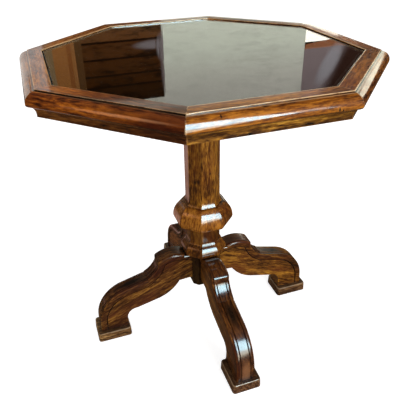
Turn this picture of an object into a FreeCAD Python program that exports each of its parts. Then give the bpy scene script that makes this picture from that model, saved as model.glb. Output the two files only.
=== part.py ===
"""Octagonal pedestal display table, modelled in millimetres as the cabinet maker builds it.

The origin is on the floor under the column's axis. Z is up, and a flat side of the octagonal top
and one leg face each of +X, -X, +Y and -Y. Eight mitred rails frame a loose pane of glass over a
shallow lined recess. The column is a stack of eight-sided blocks, pulled together by one tie rod.
"""
import FreeCAD, Part
import math
import os
from FreeCAD import Vector

# ---- the whole table ----
table_height = 737.0        # floor to the flat of the rim
top_width = 742.0           # across the flats, over the moulding

# ---- rim rails, the moulded frame of the top ----
sides = 8
rail_depth = 31.0           # height of a rail
moulding_overhang = 19.0    # how far the moulding stands out past the flat
flat_width = 30.4           # flat of the rim, from the glass to the quirk
arris = 0.8                 # broken edge along the flat
quirk_drop = 2.8            # little step outside the flat
quirk_width = 2.4
round_bottom = 20.5         # where the round of the moulding ends, below the flat
round_bow = 4.0
nose_bottom = 25.0          # where its upright nose ends, below the flat
return_width = 9.5          # how far the moulding turns back under itself
return_drop = 5.0
return_bow = 1.2            # roundness of that turn

# ---- apron strips, the cove under each rail ----
apron_height = 18.4
apron_thickness = 27.0
apron_set_back = 0.6        # behind the lower edge of the moulding
cove_width = 5.8
cove_height = 13.6
cove_sag = 1.6

# ---- glass, its rests and the recess ----
glass_thickness = 5.0
glass_sunk = 3.0            # top of the glass below the flat
glass_edge_gap = 1.0
glass_arris = 0.7
bumper_width = 9.0
bumper_thickness = 1.0
bumper_gap = 0.3            # left under the glass, which lifts off
ledge_width = 12.0
panel_thickness = 12.0
panel_edge_gap = 0.5
lining_thickness = 1.5
lining_gap = 0.5

# ---- loose tongues across the mitres ----
spline_thickness = 4.0
spline_length = 26.0        # across the joint
spline_width = 24.0         # along the mitre
spline_inset = 9.0          # from the glass side of the rail
spline_height = 10.0        # above the underside of the rail

# ---- crossed bearers under the panel ----
bearer_length = 560.0
bearer_width = 60.0
bearer_depth = 34.0
bearer_end_chamfer = 15.0
nut_recess_width = 24.0     # square recess for a rod nut and its washer
bearer_recess = 11.0

# ---- the column, from the top down ----
shaft_width = 80.8          # across the flats
flare_width = 92.0          # across the foot of the shaft
flare_height = 18.0
flare_sag = 1.6
bulb_height = 59.0
bulb_quirk_width = 89.0
bulb_quirk_height = 2.4
bulb_top_width = 103.0
bulb_width = 142.0
bulb_belly_drop = 39.5      # from the bulb's top to its widest line
bulb_foot_width = 125.0
bulb_shoulder_bow = 4.4
bulb_foot_bow = 3.4
neck_width = 81.0
neck_height = 55.5
neck_flare_width = 89.0     # across the foot of the neck
neck_flare_height = 11.0
neck_flare_sag = 1.2
collar_height = 34.0
collar_top_width = 84.0
collar_quirk_height = 2.4
collar_width = 112.0
collar_swell_drop = 24.0    # from the collar's top to its widest line
collar_foot_width = 108.0
collar_bow = 2.6
collar_foot_bow = 0.8
hub_width = 78.0            # across the faces that the legs stand on
hub_face = 54.0             # width of such a face, between the chamfers
hub_height = 97.0
hub_bottom = 118.0          # underside of the hub above the floor
hub_drop_rounding = 13.0    # rounded lower edge of the hub
hub_drop_inset = 9.0
hub_drop_bow = 2.2

# ---- joints of the column ----
spigot_width = 30.0         # across the flats of an eight-sided spigot
spigot_length = 12.0
socket_clearance = 0.2
socket_spare = 0.5          # a socket is this much deeper than its spigot
rod_diameter = 10.0
rod_channel_width = 11.0    # square channel through the blocks
washer_clearance = 0.5
rod_end = 0.5               # thread showing past the nut
rod_nut_across = 17.0
rod_nut_height = 8.0
washer_width = 22.0
washer_thickness = 2.0
hub_recess = 15.0

# ---- legs ----
leg_thickness = 47.0
leg_panel_recess = 2.0      # the sides step in below the moulded band
leg_reach = 299.0           # from the axis to the front of the ankle
ankle_length = 74.0
leg_root_height = 75.0      # height of the leg where it meets the hub
cap_gap = 1.6               # between the collar and the cap
cap_rise = 9.5              # crown of the cap above the underside of the collar
cap_reach = 132.0           # from the axis to the nose of the cap
cap_back_drop = 7.0         # back of the cap below its crown
cap_bow = 9.0
cap_brow_inset = 5.0        # where the crown ends, behind the nose
cap_brow_drop = 11.0
cap_nose_inset = 0.5
cap_nose_drop = 17.5
cap_end_height = 18.0       # end of the cap below the underside of the collar
cap_band = 25.0             # depth of the moulded band at the cap
cap_root_drop = 6.0         # the band's lower edge falls this much further at the hub
cap_groove_bow = 7.7
cap_turn_inset = 20.0       # where that edge turns down, behind the nose
cap_turn_rise = 1.5
cove_end_reach = 164.0
cove_end_height = 163.5
cove_bow = 4.1
cove_groove_bow = 8.8
run_step = 2.6              # small step between the cove and the run
run_band = 22.0
knee_reach = 231.0          # where the run meets the knee
knee_radius = 98.0
knee_band = 19.5
knee_groove_inset = 12.0
shin_height = 23.0          # straight part of the ankle above the foot
root_belly_reach = 76.0     # where the underside turns into the belly
root_belly_drop = 2.5
belly_reach = 145.0
belly_height = 90.5
belly_bow = 8.8
heel_reach = 196.0
heel_height = 78.0
heel_bow = 9.4
cap_chamfer = 7.0           # breaks both edges along the back of the cap
band_chamfer = 5.5          # and of the rest of the band
band_groove_offset = 12.0   # from the middle of the leg to each groove on its back
band_groove_width = 2.2
band_groove_depth = 1.8

# ---- feet ----
foot_height = 27.0
foot_width = 73.0
foot_toe = 11.0             # past the front of the ankle
foot_heel = 5.0
foot_corner = 5.0
foot_top_chamfer = 2.5
foot_bottom_chamfer = 1.5
ankle_tenon_length = 46.0
ankle_tenon_thickness = 24.0
ankle_tenon_depth = 18.0

# ---- tenons and screws ----
leg_tenon_length = 50.0     # a loose tenon between the hub and each leg
leg_tenon_height = 44.0
leg_tenon_thickness = 14.0
leg_tenon_in_hub = 22.0
tenon_clearance = 0.1       # on each cheek
tenon_spare = 1.0           # at each end
screw_diameter = 6.0        # coach screws up through the bearers
screw_length = 42.0         # under the head
screw_head_across = 10.0
screw_head_height = 4.0
screw_clearance = 0.1
screw_reach = 215.0         # from the axis

# ---- levels and places that follow from the sizes above ----
half_turn = 180.0 / sides
nose_half = top_width / 2
flat_half = nose_half - moulding_overhang
sight_half = flat_half - flat_width
ledge_half = sight_half - ledge_width
rail_bottom = table_height - rail_depth
glass_top = table_height - glass_sunk
glass_bottom = glass_top - glass_thickness
ledge_top = glass_bottom - bumper_gap - bumper_thickness
apron_top_half = nose_half - return_width - apron_set_back
apron_inner_half = apron_top_half - apron_thickness
panel_half = apron_inner_half - panel_edge_gap
panel_bottom = rail_bottom - panel_thickness
bearer_bottom = panel_bottom - bearer_depth
collar_bottom = hub_bottom + hub_height
collar_top = collar_bottom + collar_height
neck_top = collar_top + neck_height
bulb_top = neck_top + bulb_height
hub_half = hub_width / 2
leg_root_bottom = collar_bottom - leg_root_height
cap_crown = collar_bottom + cap_rise
cap_end = collar_bottom - cap_end_height
cap_turn_reach = cap_reach - cap_turn_inset
groove_root_height = cap_crown - cap_band - cap_root_drop
groove_turn_height = cap_end + cap_turn_rise
groove_cove_height = cove_end_height - run_step - run_band
groove_knee_reach = knee_reach - knee_groove_inset
knee_centre_reach = leg_reach - knee_radius
ankle_top = foot_height + shin_height
run_end_height = ankle_top + math.sqrt(knee_radius ** 2 - (knee_reach - knee_centre_reach) ** 2)
ankle_front = leg_reach - knee_band
ankle_back = leg_reach - ankle_length
touching = 0.01             # two places closer than this count as the same

os.makedirs("parts", exist_ok=True)


# ---------------------------------------------------------------- helpers
class Outline:
    """A closed outline in the XZ plane, drawn one line or arc at a time."""

    def __init__(self, x, z):
        self.start = Vector(x, 0, z)
        self.here = self.start
        self.edges = []

    def line(self, x, z):
        """Draw a straight edge to (x, z)."""
        end = Vector(x, 0, z)
        self.edges.append(Part.LineSegment(self.here, end).toShape())
        self.here = end
        return self

    def through(self, via_x, via_z, x, z):
        """Draw an arc that passes (via_x, via_z) and ends at (x, z)."""
        end = Vector(x, 0, z)
        self.edges.append(Part.Arc(self.here, Vector(via_x, 0, via_z), end).toShape())
        self.here = end
        return self

    def bowed(self, bow, x, z):
        """Draw an arc to (x, z) that leaves its chord by bow, to the left where bow is positive."""
        end = Vector(x, 0, z)
        chord = end - self.here
        middle = (self.here + end) * 0.5
        aside = Vector(-chord.z, 0, chord.x)
        aside.normalize()
        via = middle + aside * bow
        return self.through(via.x, via.z, x, z)

    def face(self):
        """Close the outline and fill it."""
        if self.here.distanceToPoint(self.start) > touching:
            self.line(self.start.x, self.start.z)
        return Part.Face(Part.Wire(self.edges))

    def slab(self, thickness, offset=0.0):
        """Extrude the outline along Y to a thickness, centred on y = offset."""
        face = self.face()
        face.translate(Vector(0, offset - thickness / 2, 0))
        return face.extrude(Vector(0, thickness, 0))


def turned(shape, angle):
    """Return a copy of a shape, turned about the table's axis."""
    copy = shape.copy()
    copy.rotate(Vector(0, 0, 0), Vector(0, 0, 1), angle)
    return copy


def moved(shape, x, y, z):
    """Return a copy of a shape, moved."""
    copy = shape.copy()
    copy.translate(Vector(x, y, z))
    return copy


def cylinder(diameter, bottom, top, x=0.0, y=0.0):
    """An upright cylinder between two levels."""
    return Part.makeCylinder(diameter / 2, top - bottom, Vector(x, y, bottom))


def square_bar(width, bottom, top):
    """An upright square bar on the table's axis."""
    return Part.makeBox(width, width, top - bottom, Vector(-width / 2, -width / 2, bottom))


def octagon(half_width, bottom, top):
    """An upright prism with eight sides, half_width from the axis to each flat."""
    radius = half_width / math.cos(math.radians(half_turn))
    corners = []
    for corner in range(sides + 1):
        angle = math.radians(half_turn + corner * 2 * half_turn)
        corners.append(Vector(radius * math.cos(angle), radius * math.sin(angle), bottom))
    return Part.Face(Part.makePolygon(corners)).extrude(Vector(0, 0, top - bottom))


def fanned(halves):
    """Cross symmetrical profiles at several angles, as a faceted turning.

    halves gives the half profile for each angle, as a face in the XZ plane with one side on Z.
    """
    solid = None
    for angle, half in halves.items():
        reach = 2 * half.BoundBox.XMax
        right = moved(half, 0, -reach, 0).extrude(Vector(0, 2 * reach, 0))
        left = right.mirror(Vector(0, 0, 0), Vector(1, 0, 0))
        bar = turned(right.fuse(left).removeSplitter(), angle)
        solid = bar if solid is None else solid.common(bar)
    return solid


def eight_sided(half):
    """A faceted turning on the regular octagon, from one half profile."""
    return fanned({step * 2 * half_turn: half for step in range(sides // 2)})


def hexagon(across, bottom, top, x=0.0, y=0.0):
    """An upright prism with six sides, such as a nut."""
    radius = across / 2 / math.cos(math.radians(30))
    corners = []
    for corner in range(7):
        angle = math.radians(60 * corner)
        corners.append(Vector(x + radius * math.cos(angle), y + radius * math.sin(angle), bottom))
    return Part.Face(Part.makePolygon(corners)).extrude(Vector(0, 0, top - bottom))


def save(name, shape):
    """Write one named piece."""
    if not shape.isValid():
        print("not valid:", name)
    shape.exportStep("parts/" + name + ".step")
    print(name, len(shape.Solids), round(shape.Volume / 1000.0, 1))


def cut_all(shape, tools):
    """Cut several tools from a shape."""
    return shape.cut(Part.makeCompound(tools))


# ---------------------------------------------------------------- the top
def sector():
    """The eighth of the plan that one rail fills, between two mitres."""
    reach = 2 * nose_half
    rise = reach * math.tan(math.radians(half_turn))
    corners = [Vector(0, 0, 0), Vector(reach, -rise, 0), Vector(reach, rise, 0), Vector(0, 0, 0)]
    return Part.Face(Part.makePolygon(corners)).extrude(Vector(0, 0, 2 * table_height))


def mitred(outline):
    """A length of moulding with both ends cut to the mitre."""
    return outline.slab(2 * top_width).common(sector())


def rail():
    """One moulded rail of the rim."""
    profile = Outline(sight_half, rail_bottom)
    profile.line(sight_half, table_height - arris)
    profile.line(sight_half + arris, table_height)
    profile.line(flat_half - arris, table_height)
    profile.line(flat_half, table_height - arris)
    profile.line(flat_half, table_height - quirk_drop)
    profile.line(flat_half + quirk_width, table_height - quirk_drop)
    profile.bowed(round_bow, nose_half, table_height - round_bottom)
    profile.line(nose_half, table_height - nose_bottom)
    profile.bowed(return_bow, nose_half - return_width, table_height - nose_bottom - return_drop)
    profile.line(nose_half - return_width, rail_bottom)
    return mitred(profile)


def apron_strip():
    """The coved strip under one rail."""
    bottom = rail_bottom - apron_height
    profile = Outline(apron_inner_half, bottom)
    profile.line(apron_inner_half, rail_bottom)
    profile.line(apron_top_half, rail_bottom)
    profile.bowed(-cove_sag, apron_top_half - cove_width, rail_bottom - cove_height)
    profile.line(apron_top_half - cove_width, bottom)
    return mitred(profile)


def ledge_strip():
    """The plain strip inside one rail, which carries the glass."""
    profile = Outline(ledge_half, rail_bottom)
    profile.line(ledge_half, ledge_top)
    profile.line(sight_half, ledge_top)
    profile.line(sight_half, rail_bottom)
    return mitred(profile)


def spline():
    """The loose tongue across the mitre at the first corner."""
    cosine = math.cos(math.radians(half_turn))
    inner = (sight_half + spline_inset) / cosine
    tongue = Part.makeBox(spline_width, spline_length, spline_thickness,
                          Vector(inner, -spline_length / 2, rail_bottom + spline_height))
    return turned(tongue, half_turn)


def build_top():
    """Write the rails, strips, splines, glass, its rests, the lining and the panel."""
    splines = [turned(spline(), corner * 2 * half_turn) for corner in range(sides)]
    plain_rail = rail()
    plain_apron = apron_strip()
    for side in range(sides):
        angle = side * 2 * half_turn
        name = "_" + str(side + 1)
        save("rim_rail" + name, cut_all(turned(plain_rail, angle), splines))
        save("apron_strip" + name, turned(plain_apron, angle))
    save("mitre_splines", Part.makeCompound(splines))

    ledges = [turned(ledge_strip(), side * 2 * half_turn) for side in range(sides)]
    save("glass_ledges", Part.makeCompound(ledges))
    bumper = Part.makeBox(bumper_width, bumper_width, bumper_thickness,
                          Vector((ledge_half + sight_half - bumper_width) / 2,
                                 -bumper_width / 2, ledge_top))
    bumpers = [turned(bumper, side * 2 * half_turn) for side in range(sides)]
    save("glass_bumpers", Part.makeCompound(bumpers))

    pane = octagon(sight_half - glass_edge_gap, glass_bottom, glass_top)
    rims = [edge for edge in pane.Edges if edge.BoundBox.ZLength < glass_arris]
    save("glass_pane", pane.makeChamfer(glass_arris, rims))
    save("recess_lining", octagon(ledge_half - lining_gap, rail_bottom,
                                  rail_bottom + lining_thickness))

    panel = octagon(panel_half, panel_bottom, rail_bottom)
    save("base_panel", cut_all(panel, bearer_screw_holes()))


def bearer_screw_holes():
    """The holes for the coach screws, one in each arm of the cross."""
    hole = cylinder(screw_diameter + 2 * screw_clearance, bearer_bottom,
                    bearer_bottom + screw_length + screw_clearance, screw_reach)
    return [turned(hole, 90 * arm) for arm in range(4)]


def coach_screw():
    """The coach screw in the arm on +X, its head under the bearer."""
    shank = cylinder(screw_diameter, bearer_bottom, bearer_bottom + screw_length, screw_reach)
    head = hexagon(screw_head_across, bearer_bottom - screw_head_height, bearer_bottom, screw_reach)
    return shank.fuse(head)


def bearer(halving_on_top):
    """One bearer along X, halved at its middle over or under the other one."""
    half = bearer_length / 2
    side_view = Outline(-half, panel_bottom)
    side_view.line(half, panel_bottom)
    side_view.line(half, bearer_bottom + bearer_end_chamfer)
    side_view.line(half - bearer_end_chamfer, bearer_bottom)
    side_view.line(bearer_end_chamfer - half, bearer_bottom)
    side_view.line(-half, bearer_bottom + bearer_end_chamfer)
    middle = (bearer_bottom + panel_bottom) / 2
    level = middle if halving_on_top else bearer_bottom
    halving = Part.makeBox(bearer_width, bearer_width, bearer_depth / 2,
                           Vector(-bearer_width / 2, -bearer_width / 2, level))
    return side_view.slab(bearer_width).cut(halving)


def build_bearers():
    """Write the crossed bearers and their screws."""
    channel = square_bar(rod_channel_width, bearer_bottom, panel_bottom)
    recess = square_bar(nut_recess_width, panel_bottom - bearer_recess, panel_bottom)
    holes = bearer_screw_holes() + [channel]
    save("bearer_lower", cut_all(bearer(True), holes + [socket(bearer_bottom, spigot_length)]))
    save("bearer_upper", cut_all(turned(bearer(False), 90), holes + [recess]))
    screws = [turned(coach_screw(), 90 * arm) for arm in range(4)]
    save("bearer_screws", Part.makeCompound(screws))


# ---------------------------------------------------------------- the column
def shaft_half():
    """Half profile of the shaft, with its flared foot."""
    profile = Outline(0, bulb_top)
    profile.line(0, bearer_bottom)
    profile.line(shaft_width / 2, bearer_bottom)
    profile.line(shaft_width / 2, bulb_top + flare_height)
    profile.bowed(-flare_sag, flare_width / 2, bulb_top)
    return profile.face()


def bulb_half():
    """Half profile of the bulb, from its quirk to its foot."""
    quirk_bottom = bulb_top - bulb_quirk_height
    profile = Outline(0, neck_top)
    profile.line(0, bulb_top)
    profile.line(bulb_quirk_width / 2, bulb_top)
    profile.line(bulb_quirk_width / 2, quirk_bottom)
    profile.line(bulb_top_width / 2, quirk_bottom)
    profile.bowed(bulb_shoulder_bow, bulb_width / 2, bulb_top - bulb_belly_drop)
    profile.bowed(bulb_foot_bow, bulb_foot_width / 2, neck_top)
    return profile.face()


def neck_half():
    """Half profile of the neck, with its flared foot."""
    profile = Outline(0, collar_top)
    profile.line(0, neck_top)
    profile.line(neck_width / 2, neck_top)
    profile.line(neck_width / 2, collar_top + neck_flare_height)
    profile.bowed(-neck_flare_sag, neck_flare_width / 2, collar_top)
    return profile.face()


def collar_half():
    """Half profile of the collar: a quirk under the neck, then a rounded skirt."""
    quirk_bottom = collar_top - collar_quirk_height
    swell = collar_top - collar_swell_drop
    profile = Outline(0, collar_bottom)
    profile.line(0, collar_top)
    profile.line(collar_top_width / 2, collar_top)
    profile.line(collar_top_width / 2, quirk_bottom)
    profile.bowed(collar_bow, collar_width / 2, swell)
    profile.bowed(collar_foot_bow, collar_foot_width / 2, collar_bottom)
    return profile.face()


def hub_half_profile(half_width):
    """Half profile of the hub, rounded at its lower edge."""
    profile = Outline(0, hub_bottom)
    profile.line(0, collar_bottom)
    profile.line(half_width, collar_bottom)
    profile.line(half_width, hub_bottom + hub_drop_rounding)
    profile.bowed(hub_drop_bow, half_width - hub_drop_inset, hub_bottom)
    return profile.face()


def hub_block():
    """The hub: a square block with its four corners cut off."""
    face_profile = hub_half_profile(hub_half)
    corner_profile = hub_half_profile((hub_width + hub_face) / 2 * math.sqrt(0.5))
    return fanned({0: face_profile, 90: face_profile, 45: corner_profile, 135: corner_profile})


def spigot(level, length):
    """An eight-sided spigot that starts at a level and goes up, or down where length is negative."""
    return octagon(spigot_width / 2, level, level + length)


def socket(level, length):
    """The socket for such a spigot."""
    spare = math.copysign(socket_spare, length)
    return octagon(spigot_width / 2 + socket_clearance, level, level + length + spare)


def block(half, bottom):
    """An eight-sided block of the column, with the spigot under it."""
    return eight_sided(half).fuse(spigot(bottom, -spigot_length)).removeSplitter()


def rod_nut(bottom):
    """A plain nut on the rod."""
    top = bottom + rod_nut_height
    return hexagon(rod_nut_across, bottom, top).cut(cylinder(rod_diameter, bottom, top))


def washer(bottom):
    """A square plate washer on the rod."""
    top = bottom + washer_thickness
    hole = cylinder(rod_diameter + 2 * washer_clearance, bottom, top)
    return square_bar(washer_width, bottom, top).cut(hole)


def build_column():
    """Write the stacked blocks, the tie rod and its nuts and washers."""
    channel = square_bar(rod_channel_width, hub_bottom, table_height)
    shaft = block(shaft_half(), bulb_top).fuse(spigot(bearer_bottom, spigot_length))
    save("column_shaft", shaft.removeSplitter().cut(channel))
    below = -spigot_length
    save("column_bulb", cut_all(block(bulb_half(), neck_top), [channel, socket(bulb_top, below)]))
    save("column_neck", cut_all(block(neck_half(), collar_top), [channel, socket(neck_top, below)]))
    collar = block(collar_half(), collar_bottom)
    save("column_collar", cut_all(collar, [channel, socket(collar_top, below)]))

    low_seat = hub_bottom + hub_recess
    recess = square_bar(nut_recess_width, hub_bottom, low_seat)
    mortises = [turned(leg_tenon(tenon_clearance, tenon_spare), 90 * leg) for leg in range(4)]
    save("leg_hub", cut_all(hub_block(), mortises + [channel, recess, socket(collar_bottom, below)]))

    high_seat = panel_bottom - bearer_recess
    low_nut = low_seat - washer_thickness - rod_nut_height
    high_nut = high_seat + washer_thickness
    save("rod_washers", Part.makeCompound([washer(low_seat - washer_thickness), washer(high_seat)]))
    save("rod_nuts", Part.makeCompound([rod_nut(low_nut), rod_nut(high_nut)]))
    save("tie_rod", cylinder(rod_diameter, low_nut - rod_end, high_nut + rod_nut_height + rod_end))


# ---------------------------------------------------------------- the legs
def leg_tenon(clearance=0.0, spare=0.0):
    """The loose tenon between the hub and the leg on +X, or its mortise."""
    length = leg_tenon_length + 2 * spare
    height = leg_tenon_height + 2 * clearance
    thickness = leg_tenon_thickness + 2 * clearance
    corner = Vector(hub_half - leg_tenon_in_hub - spare, -thickness / 2,
                    collar_bottom - (leg_root_height + height) / 2)
    return Part.makeBox(length, thickness, height, corner)


def ankle_tenon(clearance=0.0, spare=0.0):
    """The tenon under the ankle on +X, or its mortise in the foot."""
    length = ankle_tenon_length + 2 * clearance
    thickness = ankle_tenon_thickness + 2 * clearance
    depth = ankle_tenon_depth + spare
    corner = Vector(leg_reach - (ankle_length + length) / 2, -thickness / 2, foot_height - depth)
    return Part.makeBox(length, thickness, depth, corner)


def knee_arc(radius, reach):
    """Height of an arc round the knee's centre, at a distance from the table's axis."""
    return ankle_top + math.sqrt(radius ** 2 - (reach - knee_centre_reach) ** 2)


def core_outline():
    """Side view of the leg below its moulded band."""
    band_radius = knee_radius - knee_band
    slant = math.sqrt(0.5) * band_radius
    path = Outline(hub_half, leg_root_bottom)
    path.line(root_belly_reach, leg_root_bottom - root_belly_drop)
    path.bowed(-belly_bow, belly_reach, belly_height)
    path.line(heel_reach, heel_height)
    path.bowed(heel_bow, ankle_back, ankle_top)
    path.line(ankle_back, foot_height)
    path.line(ankle_front, foot_height)
    path.line(ankle_front, ankle_top)
    path.through(knee_centre_reach + slant, ankle_top + slant,
                 groove_knee_reach, knee_arc(band_radius, groove_knee_reach))
    path.line(cove_end_reach, groove_cove_height)
    path.bowed(cove_groove_bow, cap_turn_reach, groove_turn_height)
    path.bowed(-cap_groove_bow, hub_half, groove_root_height)
    return path


def cap_outline():
    """Side view of the carved cap over the leg's root."""
    collar_side = collar_width / 2 + cap_gap
    path = Outline(hub_half, groove_root_height)
    path.line(hub_half, collar_bottom)
    path.line(collar_side, collar_bottom)
    path.line(collar_side, cap_crown - cap_back_drop)
    path.bowed(cap_bow, cap_reach - cap_brow_inset, cap_crown - cap_brow_drop)
    path.line(cap_reach - cap_nose_inset, cap_crown - cap_nose_drop)
    path.line(cap_reach, cap_end)
    path.line(cap_turn_reach, groove_turn_height)
    path.bowed(-cap_groove_bow, hub_half, groove_root_height)
    return path


def cove_outline():
    """Side view of the hollow below the cap."""
    path = Outline(cap_turn_reach, groove_turn_height)
    path.line(cap_reach, cap_end)
    path.bowed(-cove_bow, cove_end_reach, cove_end_height)
    path.line(cove_end_reach, groove_cove_height)
    path.bowed(cove_groove_bow, cap_turn_reach, groove_turn_height)
    return path


def run_outline():
    """Side view of the straight run of the band."""
    path = Outline(cove_end_reach, groove_cove_height)
    path.line(cove_end_reach, cove_end_height - run_step)
    path.line(knee_reach, run_end_height)
    path.line(groove_knee_reach, knee_arc(knee_radius - knee_band, groove_knee_reach))
    return path


def knee_outline():
    """Side view of the band round the knee and down the ankle."""
    slant = math.sqrt(0.5)
    band_radius = knee_radius - knee_band
    groove_knee_height = knee_arc(band_radius, groove_knee_reach)
    path = Outline(groove_knee_reach, groove_knee_height)
    path.line(knee_reach, run_end_height)
    path.through(knee_centre_reach + knee_radius * slant, ankle_top + knee_radius * slant,
                 leg_reach, ankle_top)
    path.line(leg_reach, foot_height)
    path.line(ankle_front, foot_height)
    path.line(ankle_front, ankle_top)
    path.through(knee_centre_reach + band_radius * slant, ankle_top + band_radius * slant,
                 groove_knee_reach, groove_knee_height)
    return path


def moulded_band(outline, chamfer, back):
    """One stretch of the band, full thickness, chamfered along both edges of its back.

    back holds the numbers of the outline's edges that form the back of the leg.
    """
    solid = outline.slab(leg_thickness)
    middles = [edge_middle(outline.edges[number]) for number in back]
    long_edges = []
    for edge in solid.Edges:
        middle = edge_middle(edge)
        on_back = any(math.hypot(middle.x - at.x, middle.z - at.z) < touching for at in middles)
        if on_back and edge.BoundBox.YLength < touching:
            long_edges.append(edge)
    return solid.makeChamfer(chamfer, long_edges)


def edge_middle(edge):
    """The point halfway along an edge."""
    return edge.valueAt((edge.FirstParameter + edge.LastParameter) / 2)


def back_groove(outline, offset):
    """A groove that follows the back of a stretch, at an offset from the middle of the leg."""
    full = outline.slab(band_groove_width, offset)
    inner = moved(full, -band_groove_depth * math.sqrt(0.5), 0, -band_groove_depth * math.sqrt(0.5))
    return full.cut(inner)


def leg():
    """The leg on +X, with its band, grooves, tenon and mortise."""
    solid = core_outline().slab(leg_thickness - 2 * leg_panel_recess)
    solid = solid.fuse(moulded_band(cap_outline(), cap_chamfer, (4, 5)))
    solid = solid.fuse(moulded_band(cove_outline(), band_chamfer, (1,)))
    solid = solid.fuse(moulded_band(run_outline(), band_chamfer, (1,)))
    solid = solid.fuse(moulded_band(knee_outline(), band_chamfer, (1, 2)))
    solid = solid.fuse(ankle_tenon()).removeSplitter()
    grooves = []
    for outline in (cove_outline(), run_outline(), knee_outline()):
        for offset in (-band_groove_offset, band_groove_offset):
            grooves.append(back_groove(outline, offset))
    return cut_all(solid, grooves + [leg_tenon(tenon_clearance, tenon_spare)])


def foot():
    """The foot block under the leg on +X."""
    length = ankle_length + foot_toe + foot_heel
    block = Part.makeBox(length, foot_width, foot_height,
                         Vector(ankle_back - foot_heel, -foot_width / 2, 0))
    uprights = [edge for edge in block.Edges if edge.BoundBox.ZLength > foot_height / 2]
    block = block.makeChamfer(foot_corner, uprights)
    top_rim = [edge for edge in block.Edges if edge.BoundBox.ZMin > foot_height - touching]
    block = block.makeChamfer(foot_top_chamfer, top_rim)
    low_rim = [edge for edge in block.Edges if edge.BoundBox.ZMax < touching]
    block = block.makeChamfer(foot_bottom_chamfer, low_rim)
    return block.cut(ankle_tenon(tenon_clearance, tenon_spare))


def build_legs():
    """Write the four legs, their feet and their loose tenons."""
    plain_leg = leg()
    plain_foot = foot()
    for turn, side in enumerate(("right", "back", "left", "front")):
        save("leg_" + side, turned(plain_leg, 90 * turn))
        save("foot_" + side, turned(plain_foot, 90 * turn))
    save("leg_tenons", Part.makeCompound([turned(leg_tenon(), 90 * turn) for turn in range(4)]))


build_top()
build_bearers()
build_column()
build_legs()
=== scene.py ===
"""The looks of an octagonal pedestal display table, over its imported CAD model.

The sizes that classes hold are millimetres, as a cabinet maker writes them, and Outline and Shape
turn them into the metres that Blender uses. Places in finishes and in the studio are in metres.
"""
import logging
import math
from dataclasses import dataclass, replace
from enum import Enum
from functools import cached_property, partial
from typing import Any, Callable, Iterable, Optional, Sequence

import bmesh
import bpy
from mathutils import Euler, Matrix, Vector


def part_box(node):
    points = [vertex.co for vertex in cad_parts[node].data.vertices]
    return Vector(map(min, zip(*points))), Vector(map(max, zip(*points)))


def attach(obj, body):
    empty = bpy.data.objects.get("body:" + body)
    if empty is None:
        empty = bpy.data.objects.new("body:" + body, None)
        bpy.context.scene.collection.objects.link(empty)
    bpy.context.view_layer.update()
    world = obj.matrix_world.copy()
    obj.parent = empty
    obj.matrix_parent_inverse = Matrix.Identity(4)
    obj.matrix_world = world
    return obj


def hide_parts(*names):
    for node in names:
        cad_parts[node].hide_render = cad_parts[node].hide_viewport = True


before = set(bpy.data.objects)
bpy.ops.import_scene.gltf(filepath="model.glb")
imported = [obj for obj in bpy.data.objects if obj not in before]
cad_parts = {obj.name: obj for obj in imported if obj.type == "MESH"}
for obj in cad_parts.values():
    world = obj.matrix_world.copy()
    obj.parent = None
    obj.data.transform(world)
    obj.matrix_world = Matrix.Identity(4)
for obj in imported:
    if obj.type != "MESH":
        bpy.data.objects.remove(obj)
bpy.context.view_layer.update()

MM = 0.001
SIDES = 8
EIGHTH = 2 * math.pi / SIDES
LEG_NAMES = ("right", "back", "left", "front")
CLOSE = 1e-5        # metres within which two levels are taken as one
SMOOTH_BEND = math.radians(32)      # edges that bend by less are shaded smoothly
log = logging.getLogger("display_table")

Colour = tuple[float, float, float]
Place = tuple[float, float, float]
Pair = tuple[float, float]
Patch = tuple[Place, Place]    # the middle of a soft-edged patch, and its half lengths


class Blend(Enum):
    """How one colour is laid over another."""

    COVER = "MIX"
    TINT = "MULTIPLY"


class Body(Enum):
    """The CAD bodies that pieces ride on."""

    TABLE = "table"
    PANE = "pane"


def shade(red: int, green: int, blue: int) -> Colour:
    """Turn a colour written 0 to 255, as on a screen, into scene-linear light.

    Args:
        red, green, blue: the colour's parts.

    Returns:
        The same colour in linear parts from 0 to 1.
    """
    def linear(part: int) -> float:
        """One part of the colour."""
        level = part / 255
        return level / 12.92 if level <= 0.04045 else ((level + 0.055) / 1.055) ** 2.4
    return linear(red), linear(green), linear(blue)


def one_tone(*tone: float) -> tuple[Colour, Colour]:
    """The tones of a board that is alike at both ends."""
    return tone, tone


WHITE = (1.0, 1.0, 1.0)
STREAK, PORE, SPECK = shade(30, 14, 6), shade(28, 14, 7), shade(20, 10, 6)
# colours laid for soiling and painted shade, for painted shade in the corners, and for the stains
# on the cards
DIRT_AND_SHADE, CORNER_SHADE, STAIN = shade(16, 8, 4), shade(12, 6, 4), (0.004, 0.002, 0.001)


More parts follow.
